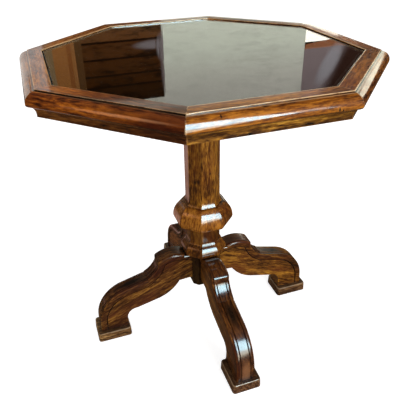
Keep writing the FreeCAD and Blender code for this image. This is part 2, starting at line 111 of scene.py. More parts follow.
# ---------------------------------------------------------------- shader nodes
class Value:
    """A number's socket in a node tree; arithmetic on it adds Math nodes."""

    def __init__(self, nodes: "Nodes", socket: bpy.types.NodeSocket) -> None:
        """Wrap a socket."""
        self.nodes = nodes
        self.socket = socket

    def _math(self, operation: str, first: Any, second: Any = 0.0) -> "Value":
        """Add one Math node."""
        node = self.nodes.add("ShaderNodeMath", {"operation": operation}, {0: first, 1: second})
        return Value(self.nodes, node.outputs[0])

    def __add__(self, other: Any) -> "Value":
        """Sum."""
        return self._math("ADD", self, other)

    def __radd__(self, other: Any) -> "Value":
        """Sum, with the number first."""
        return self._math("ADD", other, self)

    def __sub__(self, other: Any) -> "Value":
        """Difference."""
        return self._math("SUBTRACT", self, other)

    def __rsub__(self, other: Any) -> "Value":
        """Difference, with the number first."""
        return self._math("SUBTRACT", other, self)

    def __mul__(self, other: Any) -> "Value":
        """Product."""
        return self._math("MULTIPLY", self, other)

    def __rmul__(self, other: Any) -> "Value":
        """Product, with the number first."""
        return self._math("MULTIPLY", other, self)

    def wave(self) -> "Value":
        """The sine."""
        return self._math("SINE", self)

    def size(self) -> "Value":
        """The value without its sign."""
        return self._math("ABSOLUTE", self)

    def over(self, other: Any) -> "Value":
        """The greater of two values."""
        return self._math("MAXIMUM", self, other)

    def step(self, low: float, high: float, start: float = 0.0, end: float = 1.0) -> "Value":
        """Rise smoothly from start to end while the value goes from low to high.

        Args:
            low, high: where the rise begins and ends.
            start, end: the results there.

        Returns:
            The eased value.
        """
        node = self.nodes.add("ShaderNodeMapRange", {"interpolation_type": "SMOOTHSTEP"},
                              {0: self, 1: low, 2: high, 3: start, 4: end})
        return Value(self.nodes, node.outputs[0])

    def near(self, place: float, width: float) -> "Value":
        """1 where the value is at a place, falling to 0 at a distance of width."""
        return (self - place).size().step(width, width * 0.3)


@dataclass(frozen=True)
class Lie:
    """How a piece lies in the table, for its grain: where its middle is and how it is turned."""

    centre: Place = (0.0, 0.0, 0.0)
    turn: Place = (0.0, 0.0, 0.0)

    def seen(self, point: Sequence[float]) -> Vector:
        """A point of the table as the piece's finish sees it, with X along its grain."""
        return Euler(self.turn).to_matrix().inverted() @ (Vector(point) - Vector(self.centre))


UPRIGHT = Lie(turn=(0, -math.pi / 2, 0))
ACROSS = Lie(turn=(0, 0, math.pi / 2))


class Nodes:
    """The node tree of one material."""

    def __init__(self, tree: bpy.types.NodeTree, lie: Lie = Lie()) -> None:
        """Take over a tree and empty it."""
        self.tree, self.lie = tree, lie
        tree.nodes.clear()

    @cached_property
    def place(self) -> bpy.types.NodeSocket:
        """The place on the piece, with X along its grain."""
        coordinates = self.add("ShaderNodeTexCoord")
        return self.add("ShaderNodeMapping", {"vector_type": "TEXTURE"}, {
            "Vector": coordinates.outputs["Object"], "Location": self.lie.centre,
            "Rotation": self.lie.turn}).outputs[0]

    def add(self, kind: str, settings: Optional[dict] = None,
            sockets: Optional[dict] = None) -> bpy.types.Node:
        """Add a node.

        Args:
            kind: the node's type.
            settings: its properties, set first; stops is a ramp's (place, colour) pairs.
            sockets: values or links for its inputs, by name or number.

        Returns:
            The node.
        """
        node = self.tree.nodes.new(kind)
        for name, value in (settings or {}).items():
            if name == "stops":
                self._stops(node.color_ramp, value)
            else:
                setattr(node, name, value)
        for key, value in (sockets or {}).items():
            self.feed(node.inputs[key], value)
        return node

    def _stops(self, ramp: bpy.types.ColorRamp, stops: Sequence[tuple[float, Colour]]) -> None:
        """Give a ramp its stops.

        Args:
            ramp: the ramp.
            stops: the place and the colour of each.
        """
        while len(ramp.elements) < len(stops):
            ramp.elements.new(0.5)
        for element, (place, colour) in zip(ramp.elements, stops):
            element.position = place
            element.color = (*colour, 1.0)

    def feed(self, socket: bpy.types.NodeSocket, value: Any) -> None:
        """Link a socket to an output, or set its value.

        Args:
            socket: the input.
            value: a Value, an output socket, or what the input is set to.
        """
        if isinstance(value, Value):
            value = value.socket
        if isinstance(value, bpy.types.NodeSocket):
            self.tree.links.new(value, socket)
        elif socket.type == "RGBA" and len(value) == 3:
            socket.default_value = (*value, 1.0)
        else:
            socket.default_value = value

    def noise(self, stretch: Sequence[float], seed: float, detail: float = 3.0,
              rough: float = 0.55) -> Value:
        """Noise over the piece.

        Args:
            stretch: cells to a metre along each axis.
            seed: which of many patterns.
            detail: octaves.
            rough: how strong the fine octaves are.

        Returns:
            A value about 0.5.
        """
        scaled = self.vector("MULTIPLY", self.place, tuple(stretch))
        node = self.add("ShaderNodeTexNoise", {"noise_dimensions": "4D"},
                        {"Vector": scaled.outputs[0], "W": seed, "Scale": 1.0,
                         "Detail": detail, "Roughness": rough})
        return Value(self, node.outputs[0])

    def vector(self, operation: str, *inputs: Any) -> bpy.types.Node:
        """Add one Vector Math node."""
        return self.add("ShaderNodeVectorMath", {"operation": operation}, dict(enumerate(inputs)))

    def parts(self) -> tuple[Value, Value, Value]:
        """The three coordinates of the place on the piece."""
        node = self.add("ShaderNodeSeparateXYZ", {}, {0: self.place})
        return tuple(Value(self, node.outputs[axis]) for axis in range(3))

    def spot(self, centre: Sequence[float], radii: Sequence[float]) -> Value:
        """1 in the middle of a soft-edged patch, falling to 0 at its edge.

        Args:
            centre: the middle of the patch, in metres.
            radii: its half lengths, in metres.

        Returns:
            The patch.
        """
        away = self.vector("SUBTRACT", self.place, centre)
        scaled = self.vector("DIVIDE", away.outputs[0], radii)
        length = self.vector("LENGTH", scaled.outputs[0])
        return Value(self, length.outputs["Value"]).step(1.0, 0.2)

    def spots(self, patches: Iterable[Patch]) -> Any:
        """Soft-edged patches added up.

        Args:
            patches: the patches, as the piece's finish sees them.

        Returns:
            Their sum, or 0 if there is none.
        """
        total: Any = 0.0
        for centre, radii in patches:
            total = self.spot(centre, radii) + total
        return total

    def mix(self, factor: Any, first: Any, second: Any, blend: Blend = Blend.COVER) -> Any:
        """Mix two colours.

        Args:
            factor: 0 for the first, 1 for the second.
            first, second: colours or sockets.
            blend: how the second is laid over the first.

        Returns:
            The mixed colour's socket.
        """
        node = self.add("ShaderNodeMix", {"data_type": "RGBA", "blend_type": blend.value},
                        {0: factor, 6: first, 7: second})
        return node.outputs[2]

    def coats(self, colour: Any, *layers: tuple[Any, Any]) -> Any:
        """Lay colours over each other.

        Args:
            colour: the colour at the bottom.
            layers: how much there is of each and its colour, from the bottom up.

        Returns:
            The colour's socket.
        """
        for amount, paint in layers:
            colour = self.mix(amount, colour, paint)
        return colour

    def ramp(self, value: Value, stops: Sequence[tuple[float, Colour]]) -> Any:
        """Look a value up in a colour ramp."""
        return self.add("ShaderNodeValToRGB", {"stops": stops}, {0: value}).outputs[0]

    def corners(self, reach: float, inside: bool) -> Value:
        """How open the surface is: low in its corners, or seen from inside on its edges.

        Args:
            reach: how far round a place is looked.
            inside: whether it is seen from inside.

        Returns:
            1 where it is open.
        """
        node = self.add("ShaderNodeAmbientOcclusion", {"samples": 6, "inside": inside},
                        {"Distance": reach})
        return Value(self, node.outputs["AO"])

    def bump(self, height: Value, distance: float, strength: float) -> Any:
        """A bump's normal."""
        return self.add("ShaderNodeBump", {}, {"Height": height, "Distance": distance,
                                               "Strength": strength}).outputs[0]

    def looked_at(self) -> Value:
        """Tell what the camera sees from what only lights the room.

        Returns:
            1 where the camera looks, straight or by way of gloss or glass.
        """
        rays = self.add("ShaderNodeLightPath")
        camera, gloss, glass = (Value(self, rays.outputs[f"Is {kind} Ray"])
                                for kind in ("Camera", "Glossy", "Transmission"))
        return camera + gloss + glass

    def end(self, shader: bpy.types.Node, output: str = "ShaderNodeOutputMaterial") -> None:
        """Link a shader to the tree's output."""
        self.add(output, {}, {0: shader.outputs[0]})

    def surface(self, sockets: dict) -> None:
        """End the tree in one Principled shader."""
        self.end(self.add("ShaderNodeBsdfPrincipled", {}, sockets))


def new_material(name: str, lie: Lie = Lie()) -> tuple[bpy.types.Material, Nodes]:
    """Start a material.

    Args:
        name: its name.
        lie: how the piece lies that it is for.

    Returns:
        The material and its nodes.
    """
    material = bpy.data.materials.new(name)
    material.use_nodes = True
    return material, Nodes(material.node_tree, lie)


@dataclass
class Marks:
    """How much of each mark a piece of wood has, each 0 to 1: soiling and painted shade, wear and
    painted highlights and reflections, bleaching and painted light, and dull lacquer.
    """

    dirt_and_shade: Any = 0.0
    wear_and_sheen: Any = 0.0
    bleached_and_lit: Any = 0.0
    dull: Any = 0.0


# ---------------------------------------------------------------- finishes
@dataclass(frozen=True)
class Lacquered:
    """Stained hardwood under clear lacquer."""

    name: str
    dark: Colour
    middle: Colour
    light: Colour
    red: Colour
    stain: float = 0.5          # how much of it is the red stain
    streaks: float = 0.55       # how dark the dark streaks are
    specks: float = 0.8         # how dark the worm holes and nicks are
    gloss: float = 0.07         # roughness of the lacquer
    coat: float = 1.0
    corner_shade: float = 0.8          # how dark the painted shade in the corners is
    wear: float = 0.6           # how much the lacquer on the edges is chafed through
    wear_and_sheen: Colour = shade(176, 122, 68)    # the wood where the edges are chafed through, and the colour of painted highlights
    bleached_and_lit: Colour = (1.14, 1.22, 1.3)    # what bleaching, and painted light where there is any, multiplies the colour by

    def tinted(self, red: float, green: float, blue: float) -> "Lacquered":
        """The same finish on a board of another tone.

        Args:
            red, green, blue: what the wood's linear colour is multiplied by.

        Returns:
            The finish.
        """
        def turned(colour: Colour) -> Colour:
            """One colour on that board."""
            return colour[0] * red, colour[1] * green, colour[2] * blue

        return replace(self, dark=turned(self.dark), middle=turned(self.middle),
                       light=turned(self.light), red=turned(self.red))

    def between(self, first: Colour, last: Colour) -> "Lacquered":
        """The same finish on a board of one tone that turns to another: by bleaching, and on the
        front apron by a painted reflection.
        """
        return replace(self.tinted(*first), bleached_and_lit=tuple(
            end / start for start, end in zip(first, last)))

    def material(self, board: str, lie: Lie, seed: float,
                 marks: Callable[[Nodes], Marks]) -> bpy.types.Material:
        """The finish for one piece of wood.

        Args:
            board: the piece's own part of the material's name.
            lie: how the piece's grain lies.
            seed: which of many boards it was cut from.
            marks: gives the places of soiling and painted shade, of wear and painted highlights,
                and of bleaching and painted light, from the piece's nodes.

        Returns:
            The material.
        """
        material, nodes = new_material(self.name + board, lie)
        drift = nodes.noise((5, 17, 17), seed + 3.1, 3.0, 0.6)
        figure = nodes.noise((7, 120, 120), seed, 4.0, 0.6)
        fleck = nodes.noise((60, 300, 300), seed + 13.7, 3.0, 0.65)
        _, across, through = nodes.parts()
        rings = (across * 620 + through * 480 + drift * 58 + figure * 4).wave() * 0.5 + 0.5
        tone = drift * 0.55 + figure * 0.45 + fleck * 0.60 + rings * 0.05 - 0.325

        blotch = nodes.noise((6, 20, 20), seed + 7.7, 3.0)
        reddened = 0.62 - self.stain * 0.3
        streak = nodes.noise((14, 170, 170), seed + 11.3, 4.0, 0.7)
        pores = nodes.noise((80, 1500, 1500), seed + 1.9, 1.0)
        holes = nodes.add("ShaderNodeTexVoronoi", {"voronoi_dimensions": "4D"},
                          {"Vector": nodes.place, "W": seed, "Scale": 90.0, "Randomness": 1.0})
        bare = nodes.noise((11, 16, 16), seed + 5.0, 1.0).step(0.52, 0.60)
        speck = Value(nodes, holes.outputs["Distance"]).step(0.16, 0.07) * bare
        colour = nodes.coats(
            nodes.ramp(tone, ((0.38, self.dark), (0.50, self.middle), (0.63, self.light))),
            (blotch.step(reddened, reddened + 0.2, 0, 0.8), self.red),
            (streak.step(0.54, 0.68, 0.0, self.streaks), STREAK),
            (pores.step(0.54, 0.70, 0.0, 0.35), PORE),
            (speck * self.specks, SPECK))

        found = marks(nodes)
        pale_breakup = nodes.noise((40, 60, 60), seed + 6.6, 3.0, 0.7).step(0.28, 0.52)
        chafe = nodes.noise((60, 90, 90), seed + 8.8, 3.0, 0.7).step(0.42, 0.60)
        # from the marks: bleaching and painted light, wear and painted highlights, soiling and
        # painted shade; then painted shade in the corners, and chafed edges
        colour = nodes.coats(
            nodes.mix(found.bleached_and_lit, colour, self.bleached_and_lit, Blend.TINT),
            (pale_breakup * found.wear_and_sheen, self.wear_and_sheen),
            (found.dirt_and_shade, DIRT_AND_SHADE),
            # painted shade in corners and creases, from ambient occlusion
            (nodes.corners(0.006, False).step(0.80, 0.35) * self.corner_shade, CORNER_SHADE),
            (nodes.corners(0.0022, True).step(0.78, 0.50) * chafe * self.wear, self.wear_and_sheen))

        wear = nodes.noise((14, 30, 30), seed + 9.4, 4.0, 0.7)
        dents = nodes.noise((38, 60, 60), seed + 2.2, 2.0)
        height = dents * 0.5 - pores * 0.12 - speck * 1.4 + figure * 0.2
        nodes.surface({
            "Base Color": colour,
            "Roughness": wear.step(0.35, 0.7, 0.34, 0.52),
            "Coat Weight": wear.step(0.72, 0.42, self.coat * 0.72, self.coat) * (1 - found.dull),
            "Coat Roughness": self.gloss,
            "Coat IOR": 1.5,
            "Specular IOR Level": 0.08,
            "Normal": nodes.bump(height, 0.0006, 0.3),
        })
        return material


@dataclass(frozen=True)
class TwoTone:
    """A finish whose colour goes from dark to light."""

    name: str
    dark: Colour
    light: Colour

    def tone(self, nodes: Nodes, value: Value, low: float, high: float) -> Any:
        """The colour where a value goes from low, dark, to high, light."""
        return nodes.ramp(value, ((low, self.dark), (high, self.light)))


@dataclass(frozen=True)
class PlainWood(TwoTone):
    """Unseen framing timber, sawn and left in the white."""

    def material(self, lie: Lie, seed: float, board: str = "") -> bpy.types.Material:
        """The finish for one piece.

        Args:
            lie: how the piece's grain lies.
            seed: which board it was cut from.
            board: the piece's own part of the material's name.

        Returns:
            The material.
        """
        material, nodes = new_material(self.name + board, lie)
        figure = nodes.noise((3, 48, 48), seed, 5.0, 0.6)
        saw = nodes.noise((300, 12, 12), seed + 2.0, 2.0)
        pores = nodes.noise((60, 1200, 1200), seed + 4.0, 1.0)
        tone = figure * 0.9 + saw * 0.12 - pores.step(0.55, 0.75) * 0.14
        nodes.surface({"Base Color": self.tone(nodes, tone, 0.30, 0.72),
                       "Roughness": saw.step(0.3, 0.7, 0.62, 0.8),
                       "Normal": nodes.bump(saw * 0.6 + figure * 0.4, 0.0005, 0.4)})
        return material


@dataclass(frozen=True)
class Cloth(TwoTone):
    """A woven lining laid in the recess."""

    threads: float = 1300.0     # threads to a metre

    def material(self) -> bpy.types.Material:
        """The lining's finish.

        Returns:
            The material.
        """
        material, nodes = new_material(self.name)
        across, along, _ = nodes.parts()
        turns = self.threads * 2 * math.pi
        weave = (across * turns).wave() * (along * turns).wave() * 0.5 + 0.5
        nap = nodes.noise((22, 22, 22), 4.0, 5.0, 0.65)
        lint = nodes.noise((420, 420, 420), 6.0, 2.0)
        tone = weave * 0.2 + nap * 0.65 + lint * 0.2
        nodes.surface({"Base Color": self.tone(nodes, tone, 0.25, 0.85),
                       "Roughness": nap.step(0.3, 0.7, 0.85, 0.98),
                       "Specular IOR Level": 0.1,
                       "Normal": nodes.bump(weave * 0.6 + lint * 0.6, 0.0002, 0.25)})
        return material


@dataclass(frozen=True)
class ClearGlass:
    """The loose pane."""

    name: str
    tint: Colour

    def material(self, edge: float) -> bpy.types.Material:
        """The pane's finish, dull along the arris of its bevel and faintly smeared elsewhere.

        Args:
            edge: how far from the table's axis the arris runs, in metres.

        Returns:
            The material.
        """
        material, nodes = new_material(self.name)
        wear_and_sheen = nodes.noise((60, 9, 60), 3.0, 5.0, 0.7)
        smear = nodes.noise((6, 4, 6), 8.0, 3.0)
        across, along, _ = nodes.parts()
        across, along = across.size(), along.size()
        reach = across.over(along).over((across + along) * math.sqrt(0.5))
        ground = reach.near(edge, 0.0008) * 0.45
        smudged = (wear_and_sheen * 0.6 + smear * 0.4).step(0.45, 0.75, 0.0, 0.035)
        nodes.surface({"Base Color": self.tint, "Roughness": smudged.over(ground),
                       "Transmission Weight": 1.0, "IOR": 1.5})
        return material


@dataclass(frozen=True)
class Steel(TwoTone):
    """Zinc-plated fixings."""

    def material(self) -> bpy.types.Material:
        """The fixings' finish.

        Returns:
            The material.
        """
        material, nodes = new_material(self.name)
        cloud = nodes.noise((160, 160, 160), 2.0, 4.0)
        brushed = nodes.noise((1500, 1500, 90), 5.0, 1.0)
        nodes.surface({"Base Color": self.tone(nodes, cloud, 0.3, 0.7), "Metallic": 1.0,
                       "Roughness": cloud.step(0.3, 0.7, 0.28, 0.48),
                       "Normal": nodes.bump(brushed, 0.0001, 0.3)})
        return material


@dataclass(frozen=True)
class Rubber(TwoTone):
    """Soft pads under the glass."""

    def material(self) -> bpy.types.Material:
        """The pads' finish.

        Returns:
            The material.
        """
        material, nodes = new_material(self.name)
        grit = nodes.noise((900, 900, 900), 1.0, 3.0)
        nodes.surface({"Base Color": self.tone(nodes, grit, 0.3, 0.7),
                       "Roughness": grit.step(0.3, 0.7, 0.6, 0.75),
                       "Normal": nodes.bump(grit, 0.0002, 0.3)})
        return material


# the rim's pale colour is laid on chafed edges, and as painted highlights and painted light
RIM = Lacquered("rim_wood", shade(54, 20, 2), shade(124, 64, 10), shade(182, 108, 26),
                shade(90, 32, 8), streaks=0.5, wear_and_sheen=shade(226, 186, 136))
APRON = Lacquered("apron_wood", shade(44, 20, 4), shade(112, 66, 16), shade(170, 114, 40),
                  shade(84, 40, 12), stain=0.4, streaks=0.5)
COLUMN = Lacquered("column_wood", shade(56, 27, 3), shade(116, 68, 14), shade(168, 112, 32),
                   shade(94, 42, 8), stain=0.4, streaks=0.5, gloss=0.10)
# the legs' pale colour is laid on chafed edges, and as a painted reflection on the ankles
LEG = Lacquered("leg_wood", shade(34, 15, 4), shade(84, 46, 16), shade(132, 84, 32),
                shade(70, 30, 14), streaks=0.35, gloss=0.15, wear=0.15,
                wear_and_sheen=shade(190, 132, 88), bleached_and_lit=(1.75, 1.95, 1.5))
FOOT = Lacquered("foot_wood", shade(40, 24, 14), shade(88, 60, 38), shade(140, 106, 70),
                 shade(70, 40, 24), stain=0.3, coat=0.8, gloss=0.14, wear=0.15,
                 wear_and_sheen=shade(222, 196, 158))
INNER = PlainWood("inner_wood", shade(92, 62, 36), shade(158, 118, 76))
LEDGE = PlainWood("ledge_wood", shade(16, 9, 5), shade(34, 20, 11))
LINING = Cloth("lining_cloth", shade(6, 3, 2), shade(14, 8, 5))
PANE = ClearGlass("pane_glass", (0.93, 0.96, 0.94))
BUMPER = Rubber("bumper_rubber", shade(24, 22, 21), shade(46, 43, 41))
FIXING = Steel("fixing_steel", shade(140, 138, 132), shade(196, 194, 188))


# ---------------------------------------------------------------- making meshes
class Outline:
    """A run of points in the XZ plane, in millimetres, drawn one line or arc at a time."""

    def __init__(self, reach: float, height: float) -> None:
        """Start at a point."""
        self.points = [Vector((reach, 0.0, height))]

    def line(self, reach: float, height: float) -> "Outline":
        """Draw a straight run."""
        self.points.append(Vector((reach, 0.0, height)))
        return self

    def bowed(self, bow: float, reach: float, height: float, runs: int = 8) -> "Outline":
        """Draw an arc that leaves its chord by bow.

        Args:
            bow: height of the arc over its chord, to the left where it is positive.
            reach, height: where the arc ends.
            runs: how many straight runs stand for it.

        Returns:
            The outline.
        """
        start, end = self.points[-1], Vector((reach, 0.0, height))
        chord = end - start
        aside = Vector((-chord.z, 0.0, chord.x)).normalized()
        half = chord.length / 2
        radius = (half * half + bow * bow) / (2 * abs(bow))
        sweep = math.asin(min(1.0, half / radius))
        centre = (start + end) / 2 + aside * (abs(bow) - radius) * math.copysign(1.0, bow)
        lifted = aside * math.copysign(radius, bow)
        along = chord.normalized() * radius
        for run in range(1, runs):
            angle = -sweep + 2 * sweep * run / runs
            self.points.append(centre + lifted * math.cos(angle) + along * math.sin(angle))
        self.points.append(end)
        return self

    def ring(self, centre: Pair, radius: float, start: float, end: float,
             runs: int = 12) -> "Outline":
        """Draw an arc round a centre.

        Args:
            centre: the centre, out and up.
            radius: the arc's radius.
            start, end: where it starts and ends, in radians above +X.
            runs: how many straight runs stand for it.

        Returns:
            The outline.
        """
        for run in range(runs + 1):
            angle = start + (end - start) * run / runs
            self.line(centre[0] + radius * math.cos(angle), centre[1] + radius * math.sin(angle))
        return self

    def shrunk(self, drops: Sequence[float]) -> list[Vector]:
        """The points, each moved to the right of the line by its own drop.

        Args:
            drops: how far each point moves, in millimetres.

        Returns:
            The moved points.
        """
        def aside(start: Vector, end: Vector) -> Vector:
            """The unit vector to the right of a run."""
            run = (end - start).normalized()
            return Vector((run.z, 0.0, -run.x))

        moved = []
        for number, point in enumerate(self.points):
            before = self.points[max(number - 1, 0)]
            after = self.points[min(number + 1, len(self.points) - 1)]
            sides = [aside(*pair) for pair in ((before, point), (point, after))
                     if (pair[1] - pair[0]).length > 1e-6]
            middle = sum(sides, Vector()).normalized()
            moved.append(point + middle * (drops[number] / max(middle.dot(sides[0]), 0.5)))
        return moved


def add_object(name: str, data: bpy.types.ID) -> bpy.types.Object:
    """Put a mesh, a lamp or a camera in the scene.

    Args:
        name: the object's name.
        data: what it shows.

    Returns:
        The object, at the origin.
    """
    thing = bpy.data.objects.new(name, data)
    bpy.context.scene.collection.objects.link(thing)
    return thing


def mesh_object(name: str, bm: bmesh.types.BMesh, material: bpy.types.Material) -> bpy.types.Object:
    """Turn a finished bmesh into an object.

    Args:
        name: the object's name.
        bm: the bmesh, which is freed.
        material: its material.

    Returns:
        The object, at the origin.
    """
    mesh = bpy.data.meshes.new(name)
    bm.to_mesh(mesh)
    bm.free()
    mesh.materials.append(material)
    return add_object(name, mesh)


class Shape:
    """A bmesh being worked on: it takes millimetres and holds metres."""

    def __init__(self) -> None:
        """Start empty."""
        self.bm = bmesh.new()

    def everything(self) -> list:
        """All its vertices, edges and faces."""
        return self.bm.verts[:] + self.bm.edges[:] + self.bm.faces[:]

    def move(self, grown: Iterable, way: Vector) -> None:
        """Move the vertices among what an operator made.

        Args:
            grown: what it made.
            way: how far they move, in millimetres.
        """
        verts = [item for item in grown if isinstance(item, bmesh.types.BMVert)]
        bmesh.ops.translate(self.bm, verts=verts, vec=way * MM)

    def prism(self, corners: Iterable[Vector], rise: Vector) -> None:
        """Extrude a flat face.

        Args:
            corners: the face's corners.
            rise: how far it is extruded.
        """
        face = self.bm.faces.new([self.bm.verts.new(corner * MM) for corner in corners])
        grown = bmesh.ops.extrude_face_region(self.bm, geom=[face], use_keep_orig=True)["geom"]
        self.move(grown, rise)

    def slab(self, outline: Outline, thickness: float) -> None:
        """Extrude a side view along Y, centred."""
        side = Vector((0, thickness / 2, 0))
        self.prism((point - side for point in outline.points), side * 2)

    def chain(self, points: Iterable[Vector]) -> list:
        """Join points by edges.

        Args:
            points: the points in order.

        Returns:
            The edges.
        """
        verts = [self.bm.verts.new(point * MM) for point in points]
        return [self.bm.edges.new(pair) for pair in zip(verts, verts[1:])]

    def spin(self, outline: Outline) -> None:
        """Spin a half profile into a faceted turning with flats on the axes.

        Args:
            outline: the half profile, to the middle of a flat.
        """
        stretch = 1 / math.cos(EIGHTH / 2)
        turn = Matrix.Rotation(EIGHTH / 2, 3, "Z")
        self.chain(turn @ Vector((point.x * stretch, 0, point.z)) for point in outline.points)
        bmesh.ops.spin(self.bm, geom=self.everything(), cent=(0, 0, 0), axis=(0, 0, 1),
                       dvec=(0, 0, 0), angle=2 * math.pi, steps=SIDES, use_merge=True)
        self.merge()

    def merge(self) -> None:
        """Close seams and poles, and turn the faces outward."""
        bmesh.ops.remove_doubles(self.bm, verts=self.bm.verts[:], dist=1e-6)
        bmesh.ops.recalc_face_normals(self.bm, faces=self.bm.faces[:])

    def cut(self, point: Vector, normal: Vector) -> None:
        """Cut everything at a plane and close the cut.

        Args:
            point: a point on the plane, in metres.
            normal: its direction; what lies that way is dropped.
        """
        found = bmesh.ops.bisect_plane(self.bm, geom=self.everything(), dist=1e-7, plane_co=point,
                                       plane_no=normal, clear_outer=True)["geom_cut"]
        edges = [item for item in found if isinstance(item, bmesh.types.BMEdge)]
        bmesh.ops.holes_fill(self.bm, edges=edges)

    def soften(self, width: float, chosen: Callable[[bmesh.types.BMEdge], bool],
               segments: int = 3) -> None:
        """Round the chosen edges.

        Args:
            width: how far the rounding reaches from the edge.
            chosen: says whether an edge is rounded.
            segments: how many faces stand for the round.
        """
        edges = [edge for edge in self.bm.edges if chosen(edge)]
        bmesh.ops.bevel(self.bm, geom=edges, offset=width * MM, offset_type="OFFSET",
                        affect="EDGES", segments=segments, profile=0.5, material=-1,
                        clamp_overlap=True)

    def turn(self, angle: float) -> None:
        """Turn everything about the table's axis."""
        bmesh.ops.rotate(self.bm, verts=self.bm.verts[:], cent=(0, 0, 0),
                         matrix=Matrix.Rotation(angle, 3, "Z"))

    def finish(self, name: str, material: bpy.types.Material) -> bpy.types.Object:
        """Turn the shape into a smoothly shaded object.

        Args:
            name: the object's name.
            material: its material.

        Returns:
            The object, at the origin.
        """
        self.merge()
        for face in self.bm.faces:
            face.smooth = True
        for edge in self.bm.edges:
            edge.smooth = edge.calc_face_angle(0.0) < SMOOTH_BEND
        piece = mesh_object(name, self.bm, material)
        weighted = piece.modifiers.new("even_shading", "WEIGHTED_NORMAL")
        weighted.keep_sharp = True
        return piece


def sharper_than(degrees: float) -> Callable[[bmesh.types.BMEdge], bool]:
    """A test for edges that bend by more than an angle."""
    limit = math.radians(degrees)
    return lambda edge: len(edge.link_faces) == 2 and edge.calc_face_angle(0.0) > limit


def lies_at(edge: bmesh.types.BMEdge, level: float) -> bool:
    """Whether an edge lies flat at a level, in metres."""
    return all(abs(vert.co.z - level) < CLOSE for vert in edge.verts)


def upright(edge: bmesh.types.BMEdge, rise: float) -> bool:
    """Whether an edge climbs by more than a rise, in metres."""
    return abs(edge.verts[0].co.z - edge.verts[1].co.z) > rise


def settle(piece: bpy.types.Object, body: Body, slot: str, node: str) -> None:
    """Ride a finished piece on its body, in the place of its CAD node.

    Args:
        piece: the piece.
        body: the CAD body it moves with.
        slot: not used.
        node: the CAD node that it stands for.
    """
    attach(piece, body.value)
    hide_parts(node)
    log.info("%s rides on %s and stands for %s", piece.name, body.value, node)


def dress(material: bpy.types.Material, *names: str) -> None:
    """Give CAD nodes a material.

    Args:
        material: the material.
        names: the nodes.
    """
    for name in names:
        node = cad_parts[name]
        if not node.material_slots:
            node.data.materials.append(material)
        for slot in node.material_slots:
            slot.material = material
        log.info("%s is dressed in %s", name, material.name)


